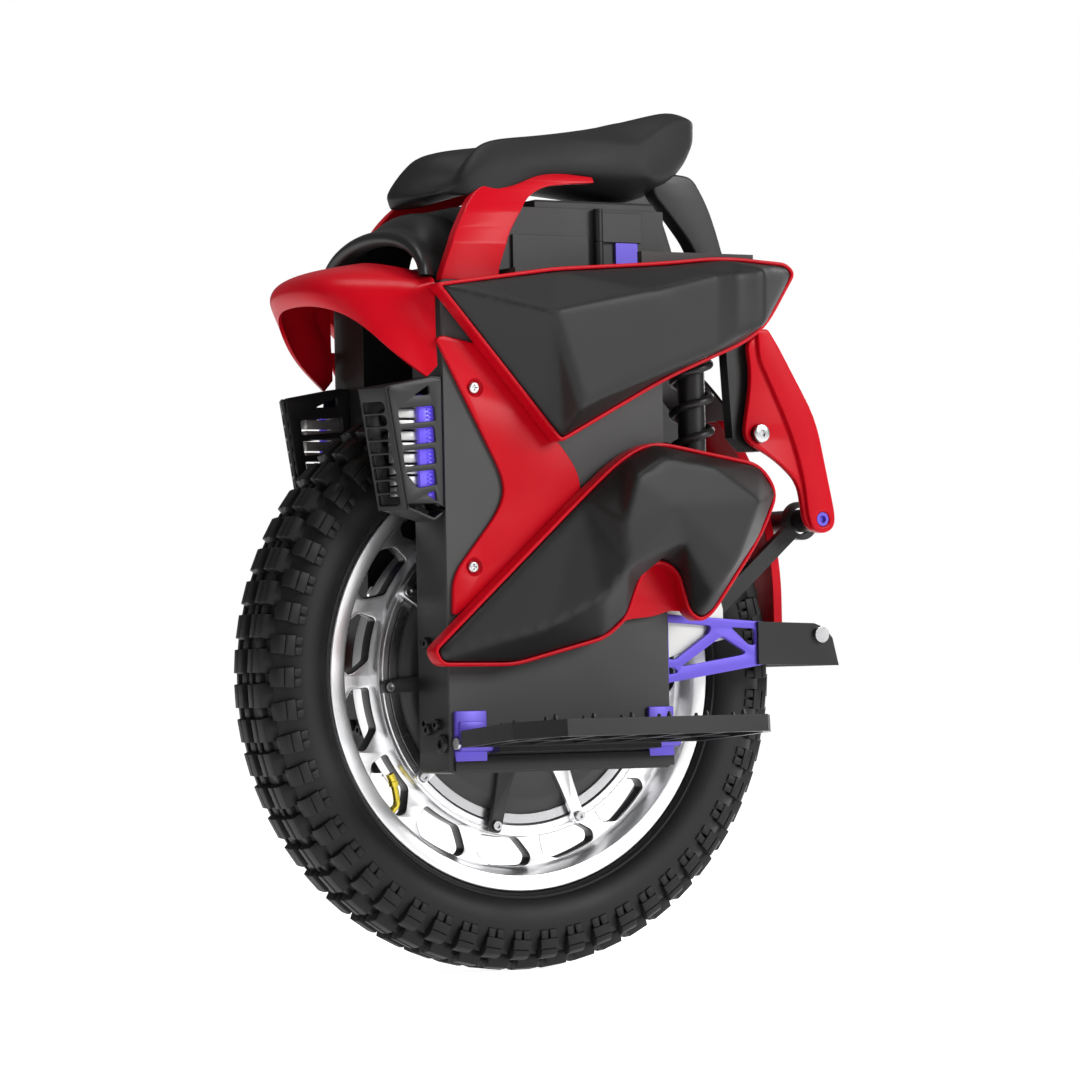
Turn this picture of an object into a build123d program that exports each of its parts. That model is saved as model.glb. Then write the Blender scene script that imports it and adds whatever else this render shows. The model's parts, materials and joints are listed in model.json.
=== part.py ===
from build123d import *
import os
from math import cos, sin, radians

# Electric unicycle with a sliding wheel suspension.
# X points forward, Y to the rider's left and Z up.
# The origin is on the ground, below the axle, at the flat face of the lowest tread block.

# ---- wheel ----
TYRE_D = 505.0
TYRE_HALF_W = 38.0
TREAD_H = 8.0
TREAD_L = 17.0
TREAD_BLOCKS = 27
TYRE_WALL = 6.0
RIM_R = 185.0
RIM_HALF_W = 26.0
RIM_WELL_R = 164.0
RIM_WALL = 5.0
HUB_RING_R = 139.0
HUB_RING_T = 11.0
RIM_SPOKES = 15
RIM_SPOKE_T = 9.0
MOTOR_HALF_W = 26.0
MOTOR_ARMS = 10
ARM_T = 5.0
WHEEL_SCREW_R = 132.5
AXLE_R = 10.0
BEARING_R = 21.0
BEARING_W = 9.0

# ---- legs: the two housings beside the wheel ----
TRAVEL = 60.0
LEG_X0 = -103.0
LEG_X1 = 111.0
LEG_IN = 43.0
LEG_OUT = 95.0
LEG_Z0 = 170.0
LEG_Z1 = 580.0
LEG_WALL = 4.0
PANEL_T = 3.0
ROD_R = 8.0
ROD_Y = 70.0
ROD_INSET = 28.0
SLIDER_H = 80.0
SLIDER_T = 28.0
BUSH_T = 3.0
FIT = 0.05
GAP = 0.3

# ---- shocks and rear linkage ----
SHOCK_X = -150.0
SHOCK_Y = 66.0
COIL_R = 20.0
WIRE_R = 3.5
COIL_TURNS = 8
SHOCK_SEAT_Z = 340.0
SEAT_T = 5.0
SHOCK_ROD_R = 5.0
SHOCK_BODY_R = 12.0
SHOCK_TOP_Z = 562.0
PIVOT = (-204.0, 455.0)
LOW_BOLT = (-267.0, 381.0)
LINK_PIN = (-160.0, 290.0)
LINK_PIN_R = 6.0
CROSS_R = 10.0
ARM_IN = 82.0
ARM_OUT = 92.0
OPEN_PIVOT_GAP = 1.8

# ---- guard, deck and seat ----
GUARD_R = 260.0
GUARD_T = 2.5
DECK_T = 12.0
DECK_X0 = -198.0
BOX_X0 = -134.0
BOX_X1 = 60.0
BOX_HALF_W = 52.0
BOX_Z1 = 648.0
LID_T = 7.0
BOX_WALL = 3.0
SEAT_HALF_W = 62.0

# ---- pads ----
BRACKET_T = 4.0
PAD_FRAME_T = 16.0
PAD_OUT = 150.0
PAD_FLOOR = 4.0
PAD_RIM = 6.0

# ---- pedals ----
HINGE_Y = 104.0
HINGE_Z = 195.0
HINGE_R = 5.0
PEDAL_TILT = 4.0
PEDAL_REACH = 136.0
PEDAL_X0 = -122.0
PEDAL_X1 = 118.0
PEDAL_TOP = 10.0
LUG_FRONT = (78.0, 108.0)
LUG_REAR = (-105.0, -80.0)

AXLE_Z = TYRE_D / 2
PANEL_IN = LEG_OUT - PANEL_T
ROD_XS = (LEG_X0 + ROD_INSET, LEG_X1 - ROD_INSET)
TOP_WHEEL_Z = AXLE_Z + TRAVEL
DECK_TOP = LEG_Z1 + DECK_T
PAD_BACK = LEG_OUT + BRACKET_T

os.makedirs("parts", exist_ok=True)
parts = {}


def keep(name, *shapes):
    """File one or more solids under a node's name."""
    solids = [solid for shape in shapes for solid in shape.solids()]
    parts[name] = Compound(children=solids) if len(solids) > 1 else solids[0]


def keep_sides(name, *shapes):
    """File the left piece and its mirror image on the right as two nodes."""
    keep("left_" + name, *shapes)
    keep("right_" + name, *(mirror(shape, about=Plane.XZ) for shape in shapes))


def keep_pair(name, *shapes):
    """File the left pieces and their mirror images together in one node."""
    keep(name, *shapes, *(mirror(shape, about=Plane.XZ) for shape in shapes))


def block(x0, x1, y0, y1, z0, z1):
    return Pos((x0 + x1) / 2, (y0 + y1) / 2, (z0 + z1) / 2) * Box(x1 - x0, y1 - y0, z1 - z0)


def outline(points):
    """A flat face in the XZ plane from corners given as (x, z)."""
    return make_face(Polyline(*[(x, 0, z) for x, z in points], close=True))


def side_plate(points, y0, y1, radius=0):
    """A plate that stands along the wheel, with its outline seen from the side."""
    plate = extrude(Pos(0, y0, 0) * outline(points), amount=y1 - y0, dir=(0, 1, 0))
    if radius:
        plate = fillet(plate.edges().filter_by(Axis.Y), radius)
    return plate


def rod_y(x, z, radius, y0, y1):
    """A round bar along Y."""
    return Pos(x, (y0 + y1) / 2, z) * Rot(90, 0, 0) * Cylinder(radius, y1 - y0)


def rod_x(y, z, radius, x0, x1):
    return Pos((x0 + x1) / 2, y, z) * Rot(0, 90, 0) * Cylinder(radius, x1 - x0)


def rod_z(x, y, radius, z0, z1):
    return Pos(x, y, (z0 + z1) / 2) * Cylinder(radius, z1 - z0)


def turned(points):
    """A body of revolution about the axle, from corners given as (radius, y)."""
    face = make_face(Polyline(*[(r, y, 0) for r, y in points], close=True))
    return Pos(0, 0, AXLE_Z) * revolve(face, Axis.Y)


def about_axle(shape, angle):
    """Turn a piece modelled at the front of the wheel, with its centre at Z 0, to an angle above forward."""
    return Pos(0, 0, AXLE_Z) * Rot(0, -angle, 0) * shape


def ellipse_half(half_w, height, z_base):
    """The closed upper half of an ellipse in the YZ plane, standing on z_base."""
    full = Plane.YZ * Pos(0, z_base) * Ellipse(half_w, height)
    return full & Plane.YZ * Pos(0, z_base + height) * Rectangle(4 * half_w, 2 * height)


# ---------------------------------------------------------------- wheel

def tyre():
    """Carcass open towards the rim, with a ring of flat-faced tread blocks."""
    crown_r = TYRE_D / 2 - TREAD_H
    bead_r = RIM_R - 7
    bead_y = RIM_HALF_W - RIM_WALL - GAP
    belly_r = (crown_r + RIM_R) / 2 + 4
    outer = [(bead_r, bead_y), (RIM_R + GAP, bead_y), (RIM_R + 6, TYRE_HALF_W - 8), (belly_r, TYRE_HALF_W),
             (crown_r - 10, TYRE_HALF_W - 7), (crown_r, 14)]
    inner = [(r - (TYRE_WALL if y < 20 else 2), max(y - TYRE_WALL, 6)) for r, y in outer[2:]]
    half = outer + [(crown_r, 0), (crown_r - TYRE_WALL, 0)] + inner[::-1] + [(bead_r, bead_y - TYRE_WALL)]
    side = turned(half)
    carcass = side + mirror(side, about=Plane.XZ)
    depth = TREAD_H + 3
    tread = Pos(TYRE_D / 2 - depth / 2, 0, 0) * Box(depth, 30, TREAD_L)
    for index in range(TREAD_BLOCKS):
        carcass += about_axle(tread, -90 + index * 360 / TREAD_BLOCKS)
    return carcass


def rim():
    """Outer channel, open spokes and the inner ring that the motor arms bolt to."""
    seat = RIM_HALF_W - RIM_WALL
    profile = [(RIM_R, RIM_HALF_W), (RIM_R - 13, RIM_HALF_W), (RIM_WELL_R - RIM_WALL, RIM_HALF_W - 7),
               (RIM_WELL_R - RIM_WALL, 7 - RIM_HALF_W), (RIM_R - 13, -RIM_HALF_W), (RIM_R, -RIM_HALF_W),
               (RIM_R, -seat), (RIM_R - 9, -seat), (RIM_WELL_R, 10 - seat), (RIM_WELL_R, seat - 10),
               (RIM_R - 9, seat), (RIM_R, seat)]
    body = turned(profile)
    ring_in = HUB_RING_R - HUB_RING_T
    ring_y = MOTOR_HALF_W - 3
    body += turned([(ring_in, -ring_y), (HUB_RING_R, -ring_y), (HUB_RING_R, ring_y), (ring_in, ring_y)])
    span = RIM_WELL_R - HUB_RING_R
    spoke = Pos(HUB_RING_R + span / 2 - 3, 0, 0) * Rot(0, 12, 0) * Box(span, 30, RIM_SPOKE_T)
    for index in range(RIM_SPOKES):
        body += about_axle(spoke, -1.5 + index * 360 / RIM_SPOKES)
    for y_sign in (1, -1):
        for angle in arm_angles():
            hole = Pos(WHEEL_SCREW_R, y_sign * (ring_y - 4), 0) * Rot(90, 0, 0) * Cylinder(2.1, 12)
            body -= about_axle(hole, angle)
    stem_angle = -41
    return body - about_axle(Pos(RIM_WELL_R, 0, 0) * Rot(0, 90, 0) * Cylinder(4.1, 30), stem_angle)


def arm_angles():
    return [32 + index * 360 / MOTOR_ARMS for index in range(MOTOR_ARMS)]


def motor_side_plate():
    """The turning end plate of the motor, with its bearing boss."""
    drum_r = HUB_RING_R - HUB_RING_T - GAP
    seat = BEARING_R + FIT
    boss_y = MOTOR_HALF_W - 4 - 6
    return turned([(seat, boss_y), (BEARING_R + 8, boss_y), (BEARING_R + 8, MOTOR_HALF_W - 4),
                   (drum_r, MOTOR_HALF_W - 4), (drum_r, MOTOR_HALF_W), (14, MOTOR_HALF_W),
                   (14, MOTOR_HALF_W - 3), (seat, MOTOR_HALF_W - 3)])


def motor_spider():
    """Dished cover with ten arms that reach the rim's inner ring."""
    y0 = MOTOR_HALF_W
    dish = turned([(24, y0), (80, y0), (76, y0 + ARM_T), (30, y0 + ARM_T + 3), (24, y0 + ARM_T + 3)])
    foot = RIM_R - HUB_RING_R
    arm_face = make_face(Polyline((70, 0, -9), (WHEEL_SCREW_R, 0, -5), (WHEEL_SCREW_R, 0, 5), (70, 0, 9), close=True))
    arm = Pos(0, y0, 0) * extrude(arm_face, amount=ARM_T, dir=(0, 1, 0))
    arm += Pos(WHEEL_SCREW_R, y0 + ARM_T / 2, 0) * Rot(90, 0, 0) * Cylinder(6, ARM_T)
    arm += Pos(WHEEL_SCREW_R, y0 - 1.5, 0) * Rot(90, 0, 0) * Cylinder(foot / 10, 3)
    arm -= Pos(WHEEL_SCREW_R, y0, 0) * Rot(90, 0, 0) * Cylinder(2.1, 30)
    for angle in arm_angles():
        dish += about_axle(arm, angle)
    return dish


def wheel_screws():
    """Ten screws a side through the arms into the rim's inner ring."""
    head_y = MOTOR_HALF_W + ARM_T
    screws = []
    for angle in arm_angles():
        head = Pos(WHEEL_SCREW_R, head_y + 1.5, 0) * Rot(90, 0, 0) * (Cylinder(4, 3) - Pos(0, 0, -1.5) * Cylinder(2, 3))
        shank = Pos(WHEEL_SCREW_R, head_y - 6, 0) * Rot(90, 0, 0) * Cylinder(2, 12.2)
        screws.append(about_axle(head + shank, angle))
    return screws


def valve_stem():
    """Elbow valve: in from the rim, then along the window."""
    base_r = RIM_WELL_R + 3
    bend_r = RIM_WELL_R - 13
    base = Pos((base_r + bend_r) / 2, 0, 0) * Rot(0, 90, 0) * Cylinder(4, base_r - bend_r)
    run = Pos(bend_r, 0, 8) * Cylinder(3.5, 20)
    cap = Pos(bend_r, 0, 17) * Cylinder(4.5, 8)
    return about_axle(base + run + cap, -41)


def stator():
    """Laminated stator with wound teeth, keyed on the axle between the bearings."""
    core = turned([(AXLE_R + FIT, -13), (62, -13), (62, 13), (AXLE_R + FIT, 13)])
    core -= turned([(24, -20), (50, -20), (50, -5), (24, -5)])
    core -= turned([(24, 5), (50, 5), (50, 20), (24, 20)])
    tooth = Pos(83, 0, 0) * Box(44, 24, 9) + Pos(108, 0, 0) * Box(6, 24, 20)
    for index in range(24):
        core += about_axle(tooth, index * 15)
    return core


keep("tyre", tyre())
keep("rim", rim())
keep_pair("motor_side_plates", motor_side_plate())
keep_pair("motor_spiders", motor_spider())
keep_pair("wheel_screws", *wheel_screws())
keep("valve_stem", valve_stem())
drum_out = HUB_RING_R - HUB_RING_T - GAP
drum_half = MOTOR_HALF_W - 4
keep("motor_drum", turned([(drum_out - 8, -drum_half), (drum_out, -drum_half), (drum_out, drum_half),
                           (drum_out - 8, drum_half)]))
magnet = Pos(drum_out - 10, 0, 0) * Box(3.2, 26, 15)
magnet &= Rot(90, 0, 0) * (Cylinder(drum_out - 8, 40) - Cylinder(drum_out - 11.2, 50))
keep("magnets", *(about_axle(magnet, index * 12) for index in range(30)))
bearing_y = MOTOR_HALF_W - 3 - BEARING_W
keep_pair("wheel_bearings", turned([(AXLE_R + FIT, bearing_y), (BEARING_R, bearing_y),
                                    (BEARING_R, bearing_y + BEARING_W), (AXLE_R + FIT, bearing_y + BEARING_W)]))
keep("stator", stator())

# ---------------------------------------------------------------- carriage

slider_y0 = ROD_Y - SLIDER_T / 2
slider_y1 = ROD_Y + SLIDER_T / 2
slider_z0 = AXLE_Z - SLIDER_H / 2
slider_z1 = AXLE_Z + SLIDER_H / 2
bush_r = ROD_R + FIT + BUSH_T
bush_l = 24.0
lug_y0 = SHOCK_Y - 6
lug_y1 = SHOCK_Y + 6
LUG_OUTLINE = [(LEG_X0 + 12, slider_z0 + 42), (LEG_X0 + 12, slider_z1 - 4), (LEG_X0 - 22, SHOCK_SEAT_Z),
               (SHOCK_X - 14, SHOCK_SEAT_Z), (SHOCK_X - 24, LINK_PIN[1] + 14), (SHOCK_X - 24, LINK_PIN[1] - 12),
               (SHOCK_X - 2, LINK_PIN[1] - 16)]


def slider():
    """Block that rides on two guide rods, clamps the axle and carries the rear lug."""
    body = block(ROD_XS[0] - 16, ROD_XS[1] + 16, slider_y0, slider_y1, slider_z0, slider_z1)
    body = chamfer(body.edges().filter_by(Axis.Y), 5)
    body += side_plate(LUG_OUTLINE, lug_y0, lug_y1)
    body += rod_y(LINK_PIN[0], LINK_PIN[1], LINK_PIN_R, lug_y0 - 10, lug_y0)
    for x in ROD_XS:
        body -= rod_z(x, ROD_Y, ROD_R + 1, slider_z0 - 5, slider_z1 + 5)
        for z0 in (slider_z0, slider_z1 - bush_l):
            body -= rod_z(x, ROD_Y, bush_r, z0 - 0.01, z0 + bush_l + 0.01)
    for x in (-40, 48):
        body -= block(x - 18, x + 18, slider_y0 + 6, slider_y1 + 1, slider_z0 + 10, slider_z1 - 10)
    return body - rod_y(0, AXLE_Z, AXLE_R, slider_y0 - 1, slider_y1 + 1)


keep_pair("sliders", slider())
bushes = [rod_z(x, ROD_Y, bush_r, z0, z0 + bush_l) - rod_z(x, ROD_Y, ROD_R + FIT, z0, z0 + bush_l)
          for x in ROD_XS for z0 in (slider_z0, slider_z1 - bush_l)]
keep_pair("slider_bushings", *bushes)
keep("axle", rod_y(0, AXLE_Z, AXLE_R, -slider_y1, slider_y1))

shock_rod_top = 470.0
shock_rod = rod_z(SHOCK_X, SHOCK_Y, COIL_R + 1, SHOCK_SEAT_Z, SHOCK_SEAT_Z + SEAT_T)
shock_rod += rod_z(SHOCK_X, SHOCK_Y, SHOCK_ROD_R, SHOCK_SEAT_Z + SEAT_T, shock_rod_top)
keep_pair("shock_rods", shock_rod)

# ---------------------------------------------------------------- legs

def leg_housing():
    """Deep tray, open outwards, that holds the rods, the slider and a battery pack."""
    body = block(LEG_X0, LEG_X1, LEG_IN, PANEL_IN, LEG_Z0, LEG_Z1)
    body = fillet(body.edges().filter_by(Axis.Y), 4)
    body -= block(LEG_X0 + LEG_WALL, LEG_X1 - LEG_WALL, LEG_IN + LEG_WALL, PANEL_IN + 1,
                  LEG_Z0 + LEG_WALL, LEG_Z1 - LEG_WALL)
    slot_r = AXLE_R + 2
    body -= block(-slot_r, slot_r, LEG_IN - 1, LEG_IN + LEG_WALL + 1, AXLE_Z, TOP_WHEEL_Z)
    for z in (AXLE_Z, TOP_WHEEL_Z):
        body -= rod_y(0, z, slot_r, LEG_IN - 1, LEG_IN + LEG_WALL + 1)
    body -= block(LEG_X0 - 1, LEG_X0 + LEG_WALL + 1, lug_y0 - 2, lug_y1 + 2, slider_z0 + 38, SHOCK_SEAT_Z + 35)
    for y, z in FRONT_BOLTS + ACCESSORY_HOLES:
        body -= rod_x(y, z, FRONT_HOLE_R, LEG_X1 - 12, LEG_X1 + 1)
    return body


FRONT_HOLE_R = 2.5
ACCESSORY_HOLES = [(49.5, 280.0), (49.5, 212.0)]
FRONT_BOLTS = [(60.0, 279.0), (60.0, 207.0), (75.0, 211.0), (84.0, 195.0)]
FRONT_HEADS = [5.0, 5.0, 5.0, 8.0]
keep_pair("leg_housings", leg_housing())

PANEL_SCREWS = [(83.0, 490.0), (87.0, 341.0)]
panel = block(LEG_X0, LEG_X1, PANEL_IN, LEG_OUT, LEG_Z0, LEG_Z1)
panel = fillet(panel.edges().filter_by(Axis.Y), 4)
for x, z in PANEL_SCREWS:
    panel -= rod_y(x, z, 2.6, PANEL_IN - 1, LEG_OUT + 1)
keep_pair("side_panels", panel)

rods = [rod_z(x, ROD_Y, ROD_R, LEG_Z0 + LEG_WALL, LEG_Z1 - LEG_WALL) for x in ROD_XS]
keep_pair("guide_rods", *rods)

pack_z0 = slider_z1 + TRAVEL + 28
pack = block(ROD_XS[0] + ROD_R + 4, ROD_XS[1] - ROD_R - 4, LEG_IN + LEG_WALL + GAP, PANEL_IN - GAP,
             pack_z0, LEG_Z1 - LEG_WALL - 12)
keep_pair("battery_packs", fillet(pack.edges().filter_by(Axis.Z), 6))

bolts = []
for (y, z), head_r in zip(FRONT_BOLTS, FRONT_HEADS):
    head = rod_x(y, z, head_r, LEG_X1, LEG_X1 + 4) - rod_x(y, z, head_r / 2, LEG_X1 + 2, LEG_X1 + 5)
    bolts.append(head + rod_x(y, z, FRONT_HOLE_R - 0.1, LEG_X1 - 8, LEG_X1 + 1))
for x, z in PANEL_SCREWS:
    head = rod_y(x, z, 5, LEG_OUT + 1, LEG_OUT + 3.5) - rod_y(x, z, 2.4, LEG_OUT + 2.3, LEG_OUT + 4)
    bolts.append(head + rod_y(x, z, 2.4, PANEL_IN - 6, LEG_OUT + 1.1))
cap = rod_y(*PIVOT, 9, ARM_OUT + GAP, ARM_OUT + 2.5) + rod_y(*PIVOT, 3, ARM_OUT - 10, ARM_OUT + 1)
bolts.append(cap - rod_y(*PIVOT, 2.5, ARM_OUT + 1.5, ARM_OUT + 5))
keep_pair("frame_bolts", *bolts)

# ---------------------------------------------------------------- pad brackets, pad frames and pads

BRACKET = [(119, 530), (113, 533), (77, 526), (0, 442), (-18, 417), (-16, 389), (105, 301), (108, 303),
           (107, 334), (60, 390), (55, 412), (113, 519)]
UPPER_FRAME = [(127, 575), (13, 591), (-100, 599), (-154, 605), (-220, 601), (-229, 592), (-198, 545),
               (-175, 530), (-95, 498), (10, 444)]
UPPER_CREST = [(96, 560), (8, 573), (-100, 581), (-150, 586), (-192, 584), (-196, 579), (-176, 547),
               (-160, 538), (-92, 510), (14, 466)]
LOWER_FRAME = [(136, 273), (-9, 400), (-49, 433), (-80, 447), (-189, 428), (-207, 403), (-188, 364),
               (-138, 300), (-125, 292), (-112, 300), (-102, 334), (-88, 343), (-74, 340), (-65, 327),
               (-52, 296), (-30, 279), (59, 258), (129, 259)]
LOWER_CREST = [(112, 274), (0, 376), (-42, 409), (-80, 424), (-168, 408), (-184, 390), (-170, 364),
               (-134, 318), (-124, 311), (-119, 320), (-108, 346), (-88, 357), (-66, 352), (-52, 334),
               (-40, 310), (-22, 296), (58, 272), (106, 270)]


def bracket():
    plate = side_plate(BRACKET, LEG_OUT, PAD_BACK)
    for x, z in PANEL_SCREWS:
        plate -= rod_y(x, z, 7, LEG_OUT + 1, PAD_BACK + 1)
        plate -= rod_y(x, z, 2.6, LEG_OUT - 1, LEG_OUT + 2)
    return plate


def pad_frame(points):
    """Shallow painted tray with a raised rim, screwed to the bracket behind it."""
    face = outline(points)
    tray = extrude(Pos(0, PAD_BACK, 0) * face, amount=PAD_FRAME_T, dir=(0, 1, 0))
    pocket = offset(face, amount=-PAD_RIM, kind=Kind.INTERSECTION)
    return tray - extrude(Pos(0, PAD_BACK + PAD_FLOOR, 0) * pocket, amount=PAD_FRAME_T, dir=(0, 1, 0))


def pad(points, crest):
    """Foam pad that fills the tray and swells out to the crest."""
    face = offset(outline(points), amount=-PAD_RIM - GAP, kind=Kind.INTERSECTION)
    base = extrude(Pos(0, PAD_BACK + PAD_FLOOR + GAP, 0) * face, amount=PAD_FRAME_T - PAD_FLOOR, dir=(0, 1, 0))
    start = PAD_BACK + PAD_FRAME_T + GAP
    bulge = loft([Pos(0, start, 0) * outline(inner_points(points)), Pos(0, PAD_OUT, 0) * outline(crest)], ruled=True)
    return base + bulge


def inner_points(points):
    """The outline pulled in by the rim's width, corner by corner."""
    count = len(points)
    pulled = []
    for index, (x, z) in enumerate(points):
        before = Vector(*points[index - 1])
        here = Vector(x, z)
        after = Vector(*points[(index + 1) % count])
        into = (here - before).normalized()
        out = (after - here).normalized()
        normal_a = Vector(-into.Y, into.X)
        normal_b = Vector(-out.Y, out.X)
        bisector = (normal_a + normal_b).normalized()
        reach = (PAD_RIM + 2 * GAP) / max(bisector.dot(normal_a), 0.5)
        spot = here + bisector * reach
        pulled.append((spot.X, spot.Y))
    return pulled


keep_pair("pad_brackets", bracket())
keep_pair("upper_pad_frames", pad_frame(UPPER_FRAME))
keep_pair("lower_pad_frames", pad_frame(LOWER_FRAME))
keep_sides("upper_pad", pad(UPPER_FRAME, UPPER_CREST))
keep_sides("lower_pad", pad(LOWER_FRAME, LOWER_CREST))

# ---------------------------------------------------------------- deck, guard and control box

RAIL_H = 17.0
RAIL_X1 = -85.0
ARM_FOOT = (40.0, 103.0)


def top_deck():
    """Plate across both legs, with side rails at the back and notches for the seat arms."""
    plate = block(DECK_X0, LEG_X1, -LEG_OUT, LEG_OUT, LEG_Z1, DECK_TOP)
    for side in (1, -1):
        y0, y1 = sorted((side * (LEG_OUT - 7), side * LEG_OUT))
        plate += block(DECK_X0, RAIL_X1, y0, y1, DECK_TOP, DECK_TOP + RAIL_H)
        y0, y1 = sorted((side * (ARM_SPAN[0] - GAP), side * (LEG_OUT + 1)))
        plate -= block(ARM_FOOT[0] - GAP, LEG_X1 + 1, y0, y1, LEG_Z1 - 1, DECK_TOP + 1)
    pocket = block(DECK_X0 + 10, -LEG_X1, -LEG_IN, LEG_IN, LEG_Z1 - 1, DECK_TOP - 4)
    return plate - pocket


def guard_ring(inner_r, outer_r, half_w):
    """A hoop about the wheel's highest place."""
    return Pos(0, 0, TOP_WHEEL_Z) * Rot(90, 0, 0) * (Cylinder(outer_r, 2 * half_w) - Cylinder(inner_r, 4 * half_w))


ARM_SPAN = (66.0, 88.0)
GUARD_FRONT_X = 96.0
GUARD_SPLIT_Z = 470.0
FENDER_HALF_W = 30.0
FENDER_Z0 = 262.0
guard_out = GUARD_R + GUARD_T


def inner_guard():
    """Curved sheet above the tyre, between the legs."""
    ring = guard_ring(GUARD_R, guard_out, LEG_IN)
    return ring & block(-guard_out, GUARD_FRONT_X, -LEG_IN, LEG_IN, GUARD_SPLIT_Z, LEG_Z1)


def rear_fender():
    """Painted fender that carries the guard's curve down behind the tyre."""
    lip_r = GUARD_R - 6
    skin = guard_ring(GUARD_R, guard_out, FENDER_HALF_W)
    skin += guard_ring(lip_r, guard_out, FENDER_HALF_W) - guard_ring(lip_r - 1, guard_out + 1, FENDER_HALF_W - 2)
    skin &= block(-guard_out, -100, -LEG_IN, LEG_IN, TOP_WHEEL_Z, GUARD_SPLIT_Z - GAP)
    skin += block(-guard_out, -GUARD_R, -FENDER_HALF_W, FENDER_HALF_W, FENDER_Z0, TOP_WHEEL_Z)
    for side in (1, -1):
        y0, y1 = sorted((side * (FENDER_HALF_W - 2), side * FENDER_HALF_W))
        skin += block(-guard_out, -lip_r, y0, y1, FENDER_Z0, TOP_WHEEL_Z)
    return skin


def control_box():
    """Open-bottomed case with a rounded front, posts for the board and an opening for the lid."""
    case = block(BOX_X0, BOX_X1, -BOX_HALF_W, BOX_HALF_W, DECK_TOP, BOX_Z1)
    front = case.edges().filter_by(Axis.Z).group_by(Axis.X)[-1]
    case = fillet(front, 30)
    hollow = block(BOX_X0 + BOX_WALL, BOX_X1 - BOX_WALL, BOX_WALL - BOX_HALF_W, BOX_HALF_W - BOX_WALL,
                   DECK_TOP - 1, BOX_Z1 - BOX_WALL)
    hollow = fillet(hollow.edges().filter_by(Axis.Z).group_by(Axis.X)[-1], 30 - BOX_WALL)
    case -= hollow
    for x in (BOX_X0 + 24, BOX_X1 - 40):
        for y in (-34, 34):
            case += rod_z(x, y, 4, BOARD_Z + BOARD_T, BOX_Z1 - BOX_WALL)
    case += block(BOX_X0 + 78, BOX_X1 - 42, BOX_HALF_W, BOX_HALF_W + 3, DECK_TOP, DECK_TOP + 32)
    return case + block(BOX_X0 + 78, BOX_X1 - 42, -BOX_HALF_W - 3, -BOX_HALF_W, DECK_TOP, DECK_TOP + 32)


BOARD_Z = 618.0
BOARD_T = 2.0


def control_board():
    """Circuit board with power transistors on a heat spreader and three capacitors."""
    board = block(BOX_X0 + 10, BOX_X1 - 26, -42, 42, BOARD_Z, BOARD_Z + BOARD_T)
    board += block(BOX_X0 + 16, BOX_X1 - 60, -30, -18, BOARD_Z + BOARD_T, BOARD_Z + BOARD_T + 14)
    for x in (-60, -30, 0):
        board += rod_z(x, 8, 8, BOARD_Z + BOARD_T, BOARD_Z + BOARD_T + 20)
    return board


DOME_X0 = BOX_X1 + GAP
DOME_X1 = 116.0
MOUTH_X1 = 130.0


def nose_dome():
    """Domed front of the top case, open forwards, with a thick rolled lip."""
    z = DECK_TOP

    def shell(trim, x0, x1):
        rear = Pos(x0, 0, 0) * ellipse_half(BOX_HALF_W + 12 - trim, BOX_Z1 - z - trim, z)
        front = Pos(x1, 0, 0) * ellipse_half(ARM_SPAN[0] - GAP - trim, 44 - trim, z)
        return loft([rear, front])

    dome = shell(0, DOME_X0, DOME_X1) - shell(3, DOME_X0 - 0.1, DOME_X1 + 0.1)
    lip_face = Pos(DOME_X1, 0, 0) * ellipse_half(ARM_SPAN[0] - GAP + 4, 46, z)
    lip = extrude(lip_face, amount=MOUTH_X1 - DOME_X1, dir=(1, 0, 0))
    lip -= extrude(Pos(DOME_X1 - 1, 0, 0) * ellipse_half(ARM_SPAN[0] - 12, 34, z - 1), amount=40, dir=(1, 0, 0))
    lip = lip & block(DOME_X1, MOUTH_X1, -100, 100, z, z + 60)
    return dome + lip


keep("top_deck", top_deck())
keep("inner_guard", inner_guard())
keep("rear_fender", rear_fender())
keep("control_box", control_box())
keep("control_board", control_board())
keep("nose_dome", nose_dome())
lid = block(BOX_X0 + 8, BOX_X1 - 67, 2 - BOX_HALF_W, BOX_HALF_W - 2, BOX_Z1, BOX_Z1 + LID_T)
keep("control_box_lid", chamfer(lid.edges().group_by(Axis.Z)[-1], 2))

COVER_X = (-110.0, -69.0)
COVER_Z = (620.0, 645.0)
COVER_PIN = (COVER_X[1] + 3, BOX_HALF_W + 4.5)
COVER_PIN_R = 2.0
cover = block(COVER_X[0], COVER_X[1], BOX_HALF_W + GAP, BOX_HALF_W + 4, *COVER_Z)
cover += rod_z(*COVER_PIN, COVER_PIN_R + 2, *COVER_Z)
cover += block(COVER_X[1] - 1, COVER_PIN[0], BOX_HALF_W + 2, BOX_HALF_W + 4, *COVER_Z)
cover -= rod_z(*COVER_PIN, COVER_PIN_R + FIT, COVER_Z[0] - 1, COVER_Z[1] + 1)
keep("port_cover", cover)
pin = rod_z(*COVER_PIN, COVER_PIN_R, DECK_TOP, COVER_Z[1] + 3)
pin += rod_z(*COVER_PIN, COVER_PIN_R + 2, COVER_Z[1] + GAP, COVER_Z[1] + 3)
pin += rod_z(*COVER_PIN, COVER_PIN_R + 2, DECK_TOP, COVER_Z[0] - GAP)
keep("port_cover_pin", pin)
keep("latch_tab", block(-106, -84, BOX_HALF_W + GAP, BOX_HALF_W + 3, DECK_TOP + 4, COVER_Z[0] - GAP))

# ---------------------------------------------------------------- cowl and vent pods

COWL_TIP = (124.0, 502.0)
COWL_NOSE = (200.0, 46.0)
COWL_T = 4.0


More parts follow.
